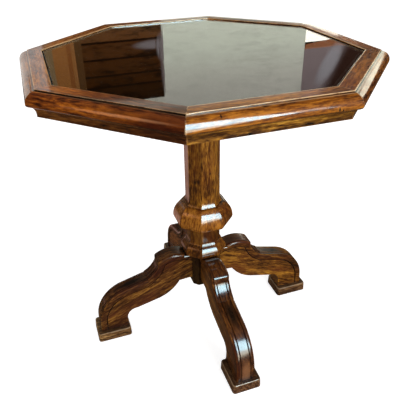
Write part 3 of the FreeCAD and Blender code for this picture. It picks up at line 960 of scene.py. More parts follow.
# ---------------------------------------------------------------- the top
@dataclass
class Top:
    """The moulded rim, its apron and what lies under the glass."""

    overhang: float = 19.0
    quirk_drop: float = 2.8
    quirk_width: float = 2.4
    round_bottom: float = 20.5
    round_bow: float = 4.0
    nose_bottom: float = 25.0
    return_width: float = 9.5
    return_drop: float = 5.0
    return_bow: float = 1.2
    cove_width: float = 5.8
    cove_height: float = 13.6
    cove_sag: float = 1.6
    rail_softness: float = 0.8
    apron_softness: float = 0.6
    mitre_gap: float = 0.12     # a hair's breadth left open at each mitre
    quirk_shade_reach: float = 3.2     # how far the painted shade reaches from the quirk, and round the nose
    nose_shade_reach: float = 3.0
    edge_wear_and_glint: float = 1.8      # how far the pale lines, partly wear and partly painted highlight, reach from the edges, and the painted highlight from the shoulder
    shoulder_glint: float = 1.6
    dull_band: Pair = (20.0, 14.0)      # where the dull band beside the glass ends and is full
    rail_fade: Pair = (-130.0, 130.0)   # where along a rail its tone starts and ends to change
    apron_fade: Pair = (20.0, 120.0)
    # the tone of each rail and of each apron at its two ends, anticlockwise from +X
    rail_ends: tuple[tuple[Colour, Colour], ...] = (
        ((0.50, 0.42, 0.42), (1.15, 1.15, 1.1)), ((0.9, 0.88, 0.9), (0.7, 0.7, 0.7)),
        one_tone(0.9, 0.92, 0.9), one_tone(0.85, 0.82, 0.8), one_tone(0.98, 1.02, 1.2),
        ((1.0, 0.86, 0.7), (0.36, 0.24, 0.22)), ((1.0, 1.08, 1.0), (0.95, 1.02, 1.0)),
        ((1.1, 1.1, 0.95), (0.72, 0.72, 0.65)))
    # the golden left part of the front apron is a painted reflection of a sunlit floor
    apron_ends: tuple[tuple[Colour, Colour], ...] = (one_tone(1.0, 1.0, 1.0),) * 4 + (
        one_tone(0.6, 0.5, 0.5), ((0.48, 0.38, 0.38), (0.38, 0.27, 0.28)),
        ((1.6, 1.9, 1.8), (0.8, 0.9, 0.8)), one_tone(0.9, 1.0, 0.9))
    # for each rail: how dark the painted shade in its quirk is, how strong its pale edges of wear
    # and painted highlight are, and how much painted light and painted shade its inner face above
    # the glass takes
    wear: tuple[tuple[float, float, float, float], ...] = (
        (0.7, 0.8, 0.0, 0.0), (0.7, 0.5, 0.0, 0.0), (0.7, 0.6, 1.0, 0.0), (0.7, 0.5, 0.5, 0.0),
        (0.7, 0.4, 0.0, 0.7), (1.0, 0.2, 0.0, 0.7), (0.5, 1.0, 0.0, 0.5), (0.8, 0.9, 0.0, 0.7))
    dulled: tuple[float, ...] = (0.8, 0.75, 0.3, 0.0, 0.0, 0.0, 0.0, 0.0)  # beside the glass
    # the rail of each knock or knot, its middle along, across and up, and its half lengths
    nicks: tuple[tuple[int, Place, Place], ...] = (
        (6, (-0.0180, -0.3570, 0.7340), (0.0110, 0.0026, 0.006)),
        (6, (-0.0429, -0.3560, 0.6902), (0.0075, 0.0080, 0.005)),
        (6, (0.1077, -0.3710, 0.7150), (0.0024, 0.0080, 0.006)),
        (6, (0.1146, -0.3710, 0.7123), (0.0024, 0.0080, 0.006)),
        (6, (0.0643, -0.3560, 0.6917), (0.0160, 0.0080, 0.003)),
        (6, (-0.0950, -0.3650, 0.7305), (0.0025, 0.0100, 0.005)))

    def __post_init__(self) -> None:
        """Read the rim's levels and reach from the CAD."""
        low, high = (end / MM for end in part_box("rim_rail_1"))
        self.sight, self.nose, self.bottom, self.level = low.x, high.x, low.z, high.z
        self.pane_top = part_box("glass_pane")[1].z
        low, high = (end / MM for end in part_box("apron_strip_1"))
        self.apron_inner, self.apron_outer, self.apron_bottom = low.x, high.x, low.z

    def rail_outline(self) -> Outline:
        """Draw the section of a rail.

        Returns:
            The outline, anticlockwise from the sight edge.
        """
        flat, top = self.nose - self.overhang, self.level
        outline = Outline(self.sight, self.bottom)
        outline.line(self.sight, top).line(flat, top).line(flat, top - self.quirk_drop)
        outline.line(flat + self.quirk_width, top - self.quirk_drop)
        outline.bowed(self.round_bow, self.nose, top - self.round_bottom, 10)
        outline.line(self.nose, top - self.nose_bottom)
        outline.bowed(self.return_bow, self.nose - self.return_width,
                      top - self.nose_bottom - self.return_drop, 4)
        return outline.line(self.nose - self.return_width, self.bottom)

    def apron_outline(self) -> Outline:
        """Draw the section of an apron strip.

        Returns:
            The outline, from its inner lower corner.
        """
        outline = Outline(self.apron_inner, self.apron_bottom)
        outline.line(self.apron_inner, self.bottom).line(self.apron_outer, self.bottom)
        outline.bowed(-self.cove_sag, self.apron_outer - self.cove_width,
                      self.bottom - self.cove_height, 8)
        return outline.line(self.apron_outer - self.cove_width, self.apron_bottom)

    def mitred(self, outline: Outline, softness: float) -> Shape:
        """A length of moulding, mitred at both ends and softened along its edges.

        Args:
            outline: its section.
            softness: how far its sharp edges are rounded.

        Returns:
            The moulding on +X.
        """
        shape = Shape()
        shape.slab(outline, 2 * self.nose)
        shape.merge()
        shape.soften(softness, sharper_than(24))
        for side in (-1, 1):
            normal = Vector((-math.sin(EIGHTH / 2), side * math.cos(EIGHTH / 2), 0))
            shape.cut(normal * -self.mitre_gap / 2 * MM, normal)
        return shape

    def nicked(self, side: int, nodes: Nodes) -> Any:
        """How dark the knocks and the knots make a place on a rail or its apron."""
        return nodes.spots(patch for rail, *patch in self.nicks if rail == side)

    def rim_marks(self, side: int, nodes: Nodes) -> Marks:
        """Painted shade in a rail's quirk, under its nose and inside; pale edges, partly wear,
        partly painted highlight.

        The fractions of a millimetre in it say how soft the border of each mark is.

        Args:
            side: the rail's number.
            nodes: the node tree.

        Returns:
            The marks there.
        """
        quirk_shade, wear_and_sheen, lit_inside, shaded_inside = self.wear[side]
        along, across, height = nodes.parts()
        out = 0 - across
        quirk, sight = (self.nose - self.overhang) * MM, self.sight * MM
        top, edge_wear_and_glint = self.level * MM, self.edge_wear_and_glint * MM
        dull_end, dull_full = (sight + reach * MM for reach in self.dull_band)
        low = height.step(top - 0.0005, top - 0.0012)
        # pale lines along the edges of the flat: partly wear, partly painted highlight on the
        # arrises
        edges = out.near(quirk - 0.0004, edge_wear_and_glint) + out.near(sight + 0.0004, edge_wear_and_glint)
        # a painted highlight on the arris where the round starts below the quirk
        shoulder = out.near(quirk + (self.quirk_width + 0.9) * MM, self.shoulder_glint * MM) * low
        # painted shade under the nose
        nose = height.near(top - (self.nose_bottom + 1.5) * MM, self.nose_shade_reach * MM) * 0.6
        inside = out.step(sight + 0.0006, sight + 0.0002)
        above = height.step(self.pane_top - 0.0004, self.pane_top)
        # painted shade in the quirk, and on the inner face: full below the glass, in part above it
        painted_shade = out.near(quirk + 0.0006, self.quirk_shade_reach * MM) * low * quirk_shade
        painted_shade = painted_shade.over(inside * (1 - above * (1 - shaded_inside))).over(nose)
        return Marks(dirt_and_shade=painted_shade.over(self.nicked(side, nodes)),
                     wear_and_sheen=edges * height.step(top - 0.0016, top - 0.0006) * wear_and_sheen
                     # painted light on the inner face above the glass, and a painted highlight on
                     # the shoulder
                     + inside * above * lit_inside + shoulder * 0.35 * wear_and_sheen,
                     bleached_and_lit=along.step(*(end * MM for end in self.rail_fade)),
                     dull=out.step(dull_end, dull_full) * self.dulled[side])

    def apron_marks(self, side: int, nodes: Nodes) -> Marks:
        """The change of tone from one end of an apron to the other, a painted reflection on the
        front one, and its knots.

        Args:
            side: the apron's number.
            nodes: the node tree.

        Returns:
            The marks there.
        """
        return Marks(dirt_and_shade=self.nicked(side, nodes),
                     bleached_and_lit=nodes.parts()[0].step(*(end * MM for end in self.apron_fade)))

    def build(self) -> None:
        """Make the rails and the aprons, and dress the rest of the top."""
        kinds = (("moulded_rail", "rim_rail", RIM, self.rail_outline(), self.rail_softness,
                  self.rail_ends, 0.0, self.rim_marks),
                 ("coved_apron", "apron_strip", APRON, self.apron_outline(), self.apron_softness,
                  self.apron_ends, 20.0, self.apron_marks))
        for side in range(SIDES):
            angle, tag = side * EIGHTH, f"_{side + 1}"
            lie = Lie(turn=(0, 0, angle + math.pi / 2))
            for name, node, wood, outline, softness, ends, seed, marks in kinds:
                shape = self.mitred(outline, softness)
                shape.turn(angle)
                material = wood.between(*ends[side]).material(
                    tag, lie, seed + 1.7 * side, partial(marks, side))
                settle(shape.finish(name + tag, material), Body.TABLE, wood.name, node + tag)
        dress(LINING.material(), "recess_lining")
        dress(BUMPER.material(), "glass_bumpers")
        dress(INNER.material(Lie(), 0.0), "mitre_splines", "base_panel", "bearer_lower",
              "leg_tenons")
        dress(LEDGE.material(Lie(), 6.0), "glass_ledges")
        dress(INNER.material(ACROSS, 3.0, "_across"), "bearer_upper")
        dress(FIXING.material(), "bearer_screws", "rod_nuts", "rod_washers", "tie_rod")


@dataclass
class Pane:
    """The loose pane, with its bevelled edge."""

    bevel: float = 2.2

    def build(self) -> None:
        """Make the pane."""
        low, high = (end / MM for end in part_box("glass_pane"))
        shape = Shape()
        shape.spin(Outline(0, low.z).line(high.x, low.z).line(high.x, high.z).line(0, high.z))
        shape.soften(self.bevel, lambda edge: lies_at(edge, high.z * MM)
                     and edge.calc_face_angle(0.0) > 0.5, 1)
        piece = shape.finish("polished_pane", PANE.material((high.x - self.bevel) * MM))
        settle(piece, Body.PANE, PANE.name, "glass_pane")


# ---------------------------------------------------------------- the column
@dataclass(frozen=True)
class Post:
    """An eight-sided block with a flared foot."""

    width: float
    flare_width: float
    flare_height: float
    flare_sag: float
    runs: int       # straight runs that stand for the flare

    def outline(self, low: float, high: float) -> Outline:
        """Draw its half profile.

        Args:
            low, high: the levels of its foot and its top.

        Returns:
            The half profile, from the bottom up.
        """
        path = Outline(0, low).line(self.flare_width / 2, low)
        path.bowed(self.flare_sag, self.width / 2, low + self.flare_height, self.runs)
        return path.line(self.width / 2, high).line(0, high)


@dataclass(frozen=True)
class Swelling:
    """An eight-sided block that swells between its foot and the quirk round its top."""

    foot_width: float
    width: float
    widest_drop: float      # how far below the top it is widest
    shoulder_width: float
    top_width: float
    quirk_height: float
    foot_bow: float
    shoulder_bow: float
    runs: tuple[int, int]   # straight runs that stand for the foot's and the shoulder's curve

    def outline(self, low: float, high: float) -> Outline:
        """Draw its half profile.

        Args:
            low, high: the levels of its foot and its top.

        Returns:
            The half profile, from the bottom up.
        """
        quirk = high - self.quirk_height
        path = Outline(0, low).line(self.foot_width / 2, low)
        path.bowed(-self.foot_bow, self.width / 2, high - self.widest_drop, self.runs[0])
        path.bowed(-self.shoulder_bow, self.shoulder_width / 2, quirk, self.runs[1])
        if self.top_width < self.shoulder_width:
            path.line(self.top_width / 2, quirk)
        return path.line(self.top_width / 2, high).line(0, high)


@dataclass
class Column:
    """The stacked eight-sided blocks and the hub under them."""

    shaft: Post = Post(80.8, 92.0, 18.0, 1.6, 6)
    bulb: Swelling = Swelling(125.0, 142.0, 39.5, 103.0, 89.0, 2.4, 3.4, 4.4, (6, 10))
    neck: Post = Post(81.0, 89.0, 11.0, 1.2, 5)
    collar: Swelling = Swelling(108.0, 112.0, 24.0, 84.0, 84.0, 2.4, 0.8, 2.6, (4, 8))
    hub_width: float = 78.0
    hub_face: float = 54.0
    hub_foot_rounding: float = 9.0
    softness: float = 1.1
    # the tone of each block from the top down; the darker neck and collar are partly painted shade
    # under the bulb, and the very dark hub is painted shade
    tones: tuple[Colour, ...] = ((1.02, 1.0, 0.9), (1.02, 0.86, 0.92), (0.52, 0.44, 0.44),
                                 (0.60, 0.50, 0.48), (0.12, 0.12, 0.18))
    # where each knot or check of the shaft is, and how far it reaches up, back and across
    knots: tuple[Patch, ...] = (
        ((-0.0150, -0.0404, 0.479), (0.024, 0.0040, 0.0026)),
        ((-0.0230, -0.0342, 0.434), (0.010, 0.0030, 0.0030)),
        ((-0.0285, -0.0288, 0.432), (0.010, 0.0050, 0.0050)),
        ((0.0060, -0.0404, 0.455), (0.006, 0.0040, 0.0030)))

    def turned(self, block: Any, low: float, high: float) -> Shape:
        """A faceted block with softened edges.

        Args:
            block: the post or the swelling.
            low, high: the levels of its foot and its top.

        Returns:
            The block.
        """
        shape = Shape()
        shape.spin(block.outline(low, high))
        shape.soften(self.softness, sharper_than(20))
        return shape

    def hub(self, low: float, high: float) -> Shape:
        """The hub, with its lower edge rounded.

        Args:
            low, high: its levels.

        Returns:
            The hub.
        """
        half, side = self.hub_width / 2, self.hub_face / 2
        plan = ((half, -side), (half, side), (side, half), (-side, half),
                (-half, side), (-half, -side), (-side, -half), (side, -half))
        shape = Shape()
        shape.prism((Vector((x, y, low)) for x, y in plan), Vector((0, 0, high - low)))
        shape.merge()
        shape.soften(self.softness, lambda edge: upright(edge, 1e-4))
        shape.soften(self.hub_foot_rounding, lambda edge: lies_at(edge, low * MM)
                     and edge.calc_face_angle(0.0) > 1.0, 5)
        return shape

    def marks(self, nodes: Nodes) -> Marks:
        """The shaft's knots and its check, and painted window light, lighter and cooler, on its
        front.

        Args:
            nodes: the node tree.

        Returns:
            The marks there.
        """
        side = self.shaft.width / 2 * MM
        knots = nodes.spots((nodes.lie.seen(centre), radii) for centre, radii in self.knots)
        backward = nodes.parts()[1]
        # the front is painted lighter and cooler: painted light from the window
        return Marks(dirt_and_shade=knots * 0.9, bleached_and_lit=backward.step(side * 0.55, -side * 0.2))

    def build(self) -> None:
        """Make the five blocks between the levels of the CAD's."""
        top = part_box("bearer_lower")[0].z / MM
        bulb_top, neck_top, collar_top, hub_top = (
            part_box(node)[1].z / MM
            for node in ("column_bulb", "column_neck", "column_collar", "leg_hub"))
        blocks = (("shaft", self.turned(self.shaft, bulb_top, top), "column_shaft"),
                  ("bulb", self.turned(self.bulb, neck_top, bulb_top), "column_bulb"),
                  ("neck", self.turned(self.neck, collar_top, neck_top), "column_neck"),
                  ("collar", self.turned(self.collar, hub_top, collar_top), "column_collar"),
                  ("hub", self.hub(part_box("leg_hub")[0].z / MM, hub_top), "leg_hub"))
        for number, (name, shape, node) in enumerate(blocks):
            material = COLUMN.tinted(*self.tones[number]).material(
                "_" + name, UPRIGHT, 40 + 2.3 * number, self.marks)
            settle(shape.finish("turned_" + name, material), Body.TABLE, COLUMN.name, node)


# ---------------------------------------------------------------- the legs
@dataclass
class Legs:
    """Four scrolled legs with a moulded band along their backs, on block feet."""

    thickness: float = 47.0
    panel_recess: float = 2.0
    reach: float = 299.0
    ankle_length: float = 74.0
    ankle_height: float = 11.0  # the straight part over the foot
    root_height: float = 75.0
    knee_radius: float = 98.0
    knee_rise: float = 23.0     # from the foot's top up to the knee's centre
    knee_band: float = 19.5
    groove_offset: float = 12.0
    groove_width: float = 2.4
    groove_depth: float = 2.4
    shoulder: float = 6.5
    quirk: float = 3.2          # gap between the band and the panel under it
    quirk_depth: float = 5.5
    edge_softness: float = 0.9
    flare: float = 0.10         # how much wider the ankle is at the foot
    flare_height: float = 22.0
    batter: float = 0.97        # the foot's top against its bottom
    foot_corner: float = 7.5
    foot_top_edge: float = 3.0
    foot_bottom_edge: float = 2.4
    grain_fall: float = 0.38    # radians that the grain falls towards the foot
    # points of the side view, out from the axis and up from the floor
    cap_root: Pair = (57.6, 217.5)
    cap_end: Pair = (129.4, 212.2)
    nose: tuple[Pair, Pair] = ((131.8, 208.8), (132.0, 197.0))
    cove_foot: Pair = (164.0, 163.5)
    knee_step: Pair = (164.6, 161.2)
    band_cove: tuple[Pair, Pair] = ((164.0, 138.9), (112.0, 198.5))
    band_root: float = 193.5
    knee_starts: Pair = (231.0, 219.0)  # how far out the back and the band meet the knee's arc
    belly_root: Pair = (76.0, 2.5)      # out, and down from the root
    belly: tuple[Pair, Pair] = ((145.0, 90.5), (196.0, 78.0))
    # how far the arcs leave their chords
    cap_bow: float = 8.6
    cove_bow: float = 4.1
    band_bows: Pair = (8.8, 7.7)
    belly_bows: Pair = (8.8, 9.4)
    leg_tones: tuple[Colour, ...] = (
        (1.35, 1.4, 1.05), (0.9, 0.62, 0.66), (0.88, 0.9, 1.05), (0.85, 0.76, 0.85))
    foot_tones: tuple[Colour, ...] = (
        (1.0, 0.95, 0.9), (0.9, 0.9, 0.9), (2.3, 2.4, 1.9), (1.1, 1.0, 1.0))
    dulled: tuple[float, ...] = (0.75, 0.6, 0.75, 0.0)      # on top of each knee and each cap
    # patches on the leg on +X, in metres: painted shade in the hollow and at the root, a painted
    # reflection of the floor on the ankle, dull on top of the knee and of the cap
    hollow: Patch = ((0.204, 0.0, 0.156), (0.058, 0.017, 0.040))
    root: Patch = ((0.084, 0.0, 0.212), (0.040, 0.030, 0.020))
    ankle: Patch = ((0.299, 0.0, 0.052), (0.045, 0.020, 0.045))
    knee_top: Patch = ((0.234, 0.0, 0.148), (0.055, 0.040, 0.040))
    cap_top: Patch = ((0.096, 0.0, 0.214), (0.060, 0.040, 0.040))
    seam_shade: float = 0.5           # how far the painted shade along the quirk reaches
    panel_edge: float = 1.2     # how far the paler face of the panel does

    def __post_init__(self) -> None:
        """Read the hub's and the foot's levels from the CAD."""
        hub_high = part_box("leg_hub")[1]
        self.hub_half, self.hub_top = hub_high.x / MM, hub_high.z / MM
        self.foot_low, self.foot_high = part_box("foot_right")
        self.foot_top = self.foot_high.z / MM
        self.ankle_top = self.foot_top + self.ankle_height
        self.knee = self.reach - self.knee_radius, self.foot_top + self.knee_rise

    def inner_line(self, path: Outline, above: float) -> Outline:
        """Draw the lower edge of the band, from the ankle back to the hub.

        Args:
            path: the outline that it goes on from.
            above: how far the line is moved towards the back.

        Returns:
            The outline.
        """
        radius = self.knee_radius - self.knee_band + above
        (foot_reach, foot_height), (top_reach, top_height) = self.band_cove
        path.line(self.knee[0] + radius, self.foot_top)
        path.line(self.knee[0] + radius, self.ankle_top)
        path.ring(self.knee, radius, 0, math.acos((self.knee_starts[1] - self.knee[0]) / radius))
        path.line(foot_reach + above * 0.3, foot_height + above)
        path.bowed(self.band_bows[0], top_reach + above * 0.5, top_height + above, 8)
        return path.bowed(-self.band_bows[1], self.hub_half, self.band_root + above, 6)

    def back_line(self) -> tuple[Outline, int]:
        """Draw the leg's back, from the hub over the cap and the knee to the foot.

        Returns:
            The outline, and the number of the cap's last point.
        """
        path = Outline(self.hub_half, self.hub_top)
        path.line(self.cap_root[0], self.hub_top).line(*self.cap_root)
        path.bowed(self.cap_bow, *self.cap_end, 12)
        path.line(*self.nose[0]).line(*self.nose[1])
        cap_end = len(path.points) - 1
        path.bowed(-self.cove_bow, *self.cove_foot, 8).line(*self.knee_step)
        start = math.acos((self.knee_starts[0] - self.knee[0]) / self.knee_radius)
        path.ring(self.knee, self.knee_radius, start, 0, 16)
        path.line(self.reach, self.ankle_top).line(self.reach, self.foot_top)
        return path, cap_end

    def core(self) -> Outline:
        """Draw the side view of the leg below its band.

        Returns:
            The outline, from the hub along the belly and back under the band.
        """
        ankle_back, root = self.reach - self.ankle_length, self.hub_top - self.root_height
        path = Outline(self.hub_half, root)
        path.line(self.belly_root[0], root - self.belly_root[1])
        path.bowed(-self.belly_bows[0], *self.belly[0], 8).line(*self.belly[1])
        path.bowed(self.belly_bows[1], ankle_back, self.knee[1], 8)
        path.line(ankle_back, self.ankle_top).line(ankle_back, self.foot_top)
        return self.inner_line(path, 0.0)

    def stations(self) -> list[tuple[float, float, bool]]:
        """Choose the lines that run along half the back.

        Returns:
            How far out each is, how far down, and whether it dips only below the cap.
        """
        flat, half = self.thickness / 2 - self.shoulder, self.groove_width / 2
        groove = ((-half - 0.5, 0.0), (-half + 0.2, 0.7), (0.0, 1.0), (half - 0.2, 0.7),
                  (half + 0.5, 0.0))
        rows = [(0.0, 0.0, False)]
        rows += [(self.groove_offset + out, deep * self.groove_depth, True)
                 for out, deep in groove]
        for step in range(6):
            turn = math.pi / 2 * step / 5
            rows.append((flat + self.shoulder * math.sin(turn),
                         self.shoulder * (1 - math.cos(turn)), False))
        return rows

    def half_band(self, shape: Shape) -> None:
        """Make one half of the moulded band, from the middle of the leg to its side.

        Args:
            shape: the shape that it is added to.
        """
        back, cap_end = self.back_line()
        rows = []
        for out, drop, below_cap in self.stations():
            drops = [0.0 if below_cap and number <= cap_end else drop
                     for number in range(len(back.points))]
            rows.append(shape.chain(point + Vector((0, out, 0)) for point in back.shrunk(drops)))
        for first, second in zip(rows, rows[1:]):
            bmesh.ops.bridge_loops(shape.bm, edges=first + second)
        side = Vector((0, self.thickness / 2, 0))
        last = [rows[-1][0].verts[0]] + [edge.verts[1] for edge in rows[-1]]
        low = [shape.bm.verts.new((point + side) * MM) for point in self.band_edge()]
        shape.bm.faces.new(last + low)
        under = bmesh.ops.extrude_edge_only(
            shape.bm, edges=[shape.bm.edges.get(pair) for pair in zip(low, low[1:])])["geom"]
        shape.move(under, -side)

    def band_edge(self) -> list[Vector]:
        """The points of the band's lower edge, from the ankle back to the hub."""
        return self.inner_line(Outline(self.reach, self.foot_top), self.quirk).points[1:]

    def leg(self) -> Shape:
        """Make the leg on +X.

        Returns:
            The leg: its band, softened, its core with the sunk panels, and what joins them.
        """
        leg = Shape()
        self.half_band(leg)
        bmesh.ops.mirror(leg.bm, geom=leg.everything(), axis="Y", merge_dist=1e-5)
        bmesh.ops.remove_doubles(leg.bm, verts=leg.bm.verts[:], dist=2e-6)
        bmesh.ops.holes_fill(leg.bm, edges=leg.bm.edges[:], sides=0)
        leg.merge()
        side, rim = self.thickness / 2 * MM, [point * MM for point in self.band_edge()]
        leg.soften(self.edge_softness, lambda edge: all(
            abs(abs(vert.co.y) - side) < 1e-6 and any(
                (Vector((vert.co.x, 0, vert.co.z)) - point).length < 1e-5 for point in rim)
            for vert in edge.verts), 2)
        leg.slab(self.core(), self.thickness - 2 * self.panel_recess)
        back = self.back_line()[0]
        back.points = back.shrunk([self.shoulder] * len(back.points))
        leg.slab(self.inner_line(back, -2.0), self.thickness - 2 * self.quirk_depth)
        for vert in leg.bm.verts:
            low = 1 - (vert.co.z / MM - self.foot_top) / self.flare_height
            if low > 0:
                vert.co.y *= 1 + self.flare * min(low, 1.0) ** 2
        return leg

    def foot(self) -> Shape:
        """Make the foot on +X.

        Returns:
            The foot, battered and with its edges rounded.
        """
        shape = Shape()
        size = self.foot_high - self.foot_low
        middle = (self.foot_high + self.foot_low) / 2
        bmesh.ops.create_cube(shape.bm, size=1.0,
                              matrix=Matrix.Translation(middle) @ Matrix.Diagonal((*size, 1.0)))
        for vert in shape.bm.verts:
            if vert.co.z > middle.z:
                vert.co.y *= self.batter
                vert.co.x = middle.x + (vert.co.x - middle.x) * self.batter
        shape.soften(self.foot_corner, lambda edge: upright(edge, 0.01), 6)
        shape.soften(self.foot_top_edge, lambda edge: lies_at(edge, self.foot_high.z))
        shape.soften(self.foot_bottom_edge, lambda edge: lies_at(edge, self.foot_low.z))
        return shape

    def leg_marks(self, angle: float, dulled: float, nodes: Nodes) -> Marks:
        """The paler panels of a leg, the painted shade along its quirks, in its hollow and at its
        root, and the painted reflection on its ankle.

        Args:
            angle: which way the leg points.
            dulled: how dull the lacquer is on top of its knee and its cap.
            nodes: the node tree.

        Returns:
            The marks there.
        """
        def near_patch(patch: Patch) -> Value:
            """How near a place is to the middle of a patch."""
            centre = Matrix.Rotation(angle, 3, "Z") @ Vector(patch[0])
            return nodes.spot(nodes.lie.seen(centre), patch[1])

        out = nodes.parts()[1].size()
        half = self.thickness / 2
        # painted shade along the quirk between the band and the panel
        seam_shade = out.near((half - self.quirk_depth) * MM, self.seam_shade * MM)
        # painted shade in the hollow and at the root
        return Marks(dirt_and_shade=seam_shade * 0.9 + near_patch(self.hollow) * 0.95 + near_patch(self.root) * 0.6,
                     # a painted reflection of the floor on the ankle
                     wear_and_sheen=near_patch(self.ankle) * 0.36,
                     bleached_and_lit=out.near((half - self.panel_recess) * MM, self.panel_edge * MM),
                     dull=near_patch(self.knee_top).over(near_patch(self.cap_top)) * dulled)

    def foot_marks(self, nodes: Nodes) -> Marks:
        """The chafed upper edge of a foot, and its darker top.

        Args:
            nodes: the node tree.

        Returns:
            The marks there.
        """
        height, top = nodes.parts()[2], self.foot_top * MM
        edge = height.step(top - 0.0036, top - 0.0024) * height.step(top - 0.0001, top - 0.0006)
        return Marks(dirt_and_shade=height.step(top - 0.0006, top - 0.0001) * 0.5, wear_and_sheen=edge * 0.25)

    def build(self) -> None:
        """Make the four legs and their feet."""
        for number, name in enumerate(LEG_NAMES):
            angle = number * math.pi / 2
            lie = Lie(centre=(0, 0, self.foot_top * MM), turn=(0, self.grain_fall, angle))
            marks = partial(self.leg_marks, angle, self.dulled[number])
            kinds = ((self.leg(), LEG, self.leg_tones, lie, 60, marks, "scrolled_leg_", "leg_"),
                     (self.foot(), FOOT, self.foot_tones, Lie(turn=(0, 0, angle)), 80,
                      self.foot_marks, "block_foot_", "foot_"))
            for shape, wood, tones, grain, seed, found, piece, node in kinds:
                shape.turn(angle)
                material = wood.tinted(*tones[number]).material(
                    "_" + name, grain, seed + 3.1 * number, found)
                settle(shape.finish(piece + name, material), Body.TABLE, wood.name, node + name)


# ---------------------------------------------------------------- the studio
@dataclass
class Studio:
    """The floor, the camera, the lamps and the cards round the table, in metres."""

    target: Place = (-0.00690, 0.0, 0.36255)
    distance: float = 1.23606
    azimuth: float = -18.78
    elevation: float = 30.89
    roll: float = -0.98
    lens: float = 43.89
    floor_reach: float = 9.0
    floor_glow: float = 0.72    # what the floor adds to its own shade where the camera looks
    room_light: float = 0.5     # the light from all round, where 1 is the white background
    room: float = 3.6           # from the table's axis to the dark walls
    ceiling: float = 3.4
    window_y: float = -2.2
    wall_y: float = 2.5         # where the wall stands that the glass mirrors
    door_left: float = 0.572
    door_right: float = 1.755

    def camera(self) -> None:
        """Set the camera."""
        turn, tilt = math.radians(self.azimuth), math.radians(self.elevation)
        back = Vector((math.sin(turn) * math.cos(tilt), -math.cos(turn) * math.cos(tilt),
                       math.sin(tilt)))
        data = bpy.data.cameras.new("camera")
        data.lens = self.lens
        data.sensor_width = 36.0
        camera = add_object("camera", data)
        look = back.to_track_quat("Z", "Y").to_matrix().to_4x4()
        camera.matrix_world = (Matrix.Translation(Vector(self.target) + back * self.distance)
                               @ look @ Matrix.Rotation(math.radians(self.roll), 4, "Z"))
        bpy.context.scene.camera = camera

    def floor(self) -> None:
        """Lay the pale floor."""
        bm = bmesh.new()
        bmesh.ops.create_circle(bm, cap_ends=True, radius=self.floor_reach, segments=96)
        material, nodes = new_material("floor_paint")
        paint = nodes.add("ShaderNodeBsdfDiffuse", {}, {"Color": (0.8, 0.8, 0.8)})
        glow = nodes.add("ShaderNodeEmission", {}, {
            "Color": WHITE, "Strength": nodes.looked_at() * self.floor_glow})
        nodes.end(nodes.add("ShaderNodeAddShader", {}, {0: paint.outputs[0], 1: glow.outputs[0]}))
        mesh_object("floor", bm, material)

    def world(self) -> None:
        """Light the room evenly, with a white background."""
        world = bpy.data.worlds.new("room")
        bpy.context.scene.world = world
        world.use_nodes = True
        nodes = Nodes(world.node_tree)
        nodes.end(nodes.add("ShaderNodeBackground", {}, {
            "Color": WHITE, "Strength": nodes.looked_at().step(0.0, 1.0, self.room_light, 1.0)}),
            "ShaderNodeOutputWorld")

    def lamp(self, name: str, place: Place, aim: Place, size: Pair, power: float) -> None:
        """Hang one soft lamp.

        Args:
            name: its name.
            place: where it hangs.
            aim: what it points at.
            size: its width and height.
            power: its watts.
        """
        data = bpy.data.lights.new(name, "AREA")
        data.shape = "RECTANGLE"
        data.size, data.size_y = size
        data.energy = power
        lamp = add_object(name, data)
        away = Vector(place) - Vector(aim)
        lamp.matrix_world = Matrix.Translation(Vector(place)) @ away.to_track_quat(
            "Z", "Y").to_matrix().to_4x4()
        lamp.visible_camera = lamp.visible_glossy = lamp.visible_transmission = False

    def card(self, name: str, shape: bmesh.types.BMesh, light: float, colour: Colour,
             mask: Optional[Callable[[Nodes], Value]] = None,
             fade: Optional[tuple[Colour, float, float]] = None, stains: float = 0.0) -> None:
        """Stand a card that only reflections see.

        Args:
            name: its name.
            shape: its mesh.
            light: how bright it is, where 1 is the white of the room.
            colour: its colour.
            mask: where it is there, from 0 to 1.
            fade: the colour that it turns to, and between which two levels.
            stains: how dark its stains are.
        """
        material, nodes = new_material(name)
        paint: Any = colour
        if fade is not None:
            other, low, high = fade
            paint = nodes.mix(nodes.parts()[2].step(low, high), colour, other)
        if stains:
            cloud = nodes.noise((7, 1, 26), light, 4.0, 0.65)
            paint = nodes.mix(cloud.step(0.46, 0.66) * stains, paint, STAIN)
        shader = nodes.add("ShaderNodeEmission", {}, {"Color": paint, "Strength": light})
        if mask is not None:
            clear = nodes.add("ShaderNodeBsdfTransparent")
            shader = nodes.add("ShaderNodeMixShader", {}, {
                0: mask(nodes), 1: clear.outputs[0], 2: shader.outputs[0]})
        nodes.end(shader)
        card = mesh_object(name, shape, material)
        card.visible_camera = card.visible_diffuse = card.visible_shadow = False

    def panel(self, name: str, corners: Sequence[Place], light: float,
              colour: Colour = WHITE, **options: Any) -> None:
        """Stand a flat card by its corners.

        Args:
            name: its name.
            corners: where they are.
            light, colour, options: as card takes them.
        """
        bm = bmesh.new()
        bm.faces.new([bm.verts.new(corner) for corner in corners])
        self.card(name, bm, light, colour, **options)

    def wall(self, name: str, start: Pair, end: Pair, levels: Pair, light: float,
             colour: Colour = WHITE, **options: Any) -> None:
        """Stand an upright card.

        Args:
            name: its name.
            start, end: where its lower edge starts and ends, seen from above.
            levels: where its lower and its upper edge are.
            light, colour, options: as card takes them.
        """
        low, high = levels
        self.panel(name, [(*start, low), (*end, low), (*end, high), (*start, high)], light, colour,
                   **options)

    def backdrop(self, name: str, sides: Pair, levels: Pair, colour: Colour, light: float = 1.0,
                 before: float = 0.0, **options: Any) -> None:
        """Stand a card in the wall that the glass mirrors.

        Args:
            name: its name.
            sides: where its left and its right edge are.
            levels: where its lower and its upper edge are.
            colour, light, options: as card takes them.
            before: how far it stands before the wall.
        """
        left, right = ((side, self.wall_y - before) for side in sides)
        self.wall(name, left, right, levels, light, colour, **options)

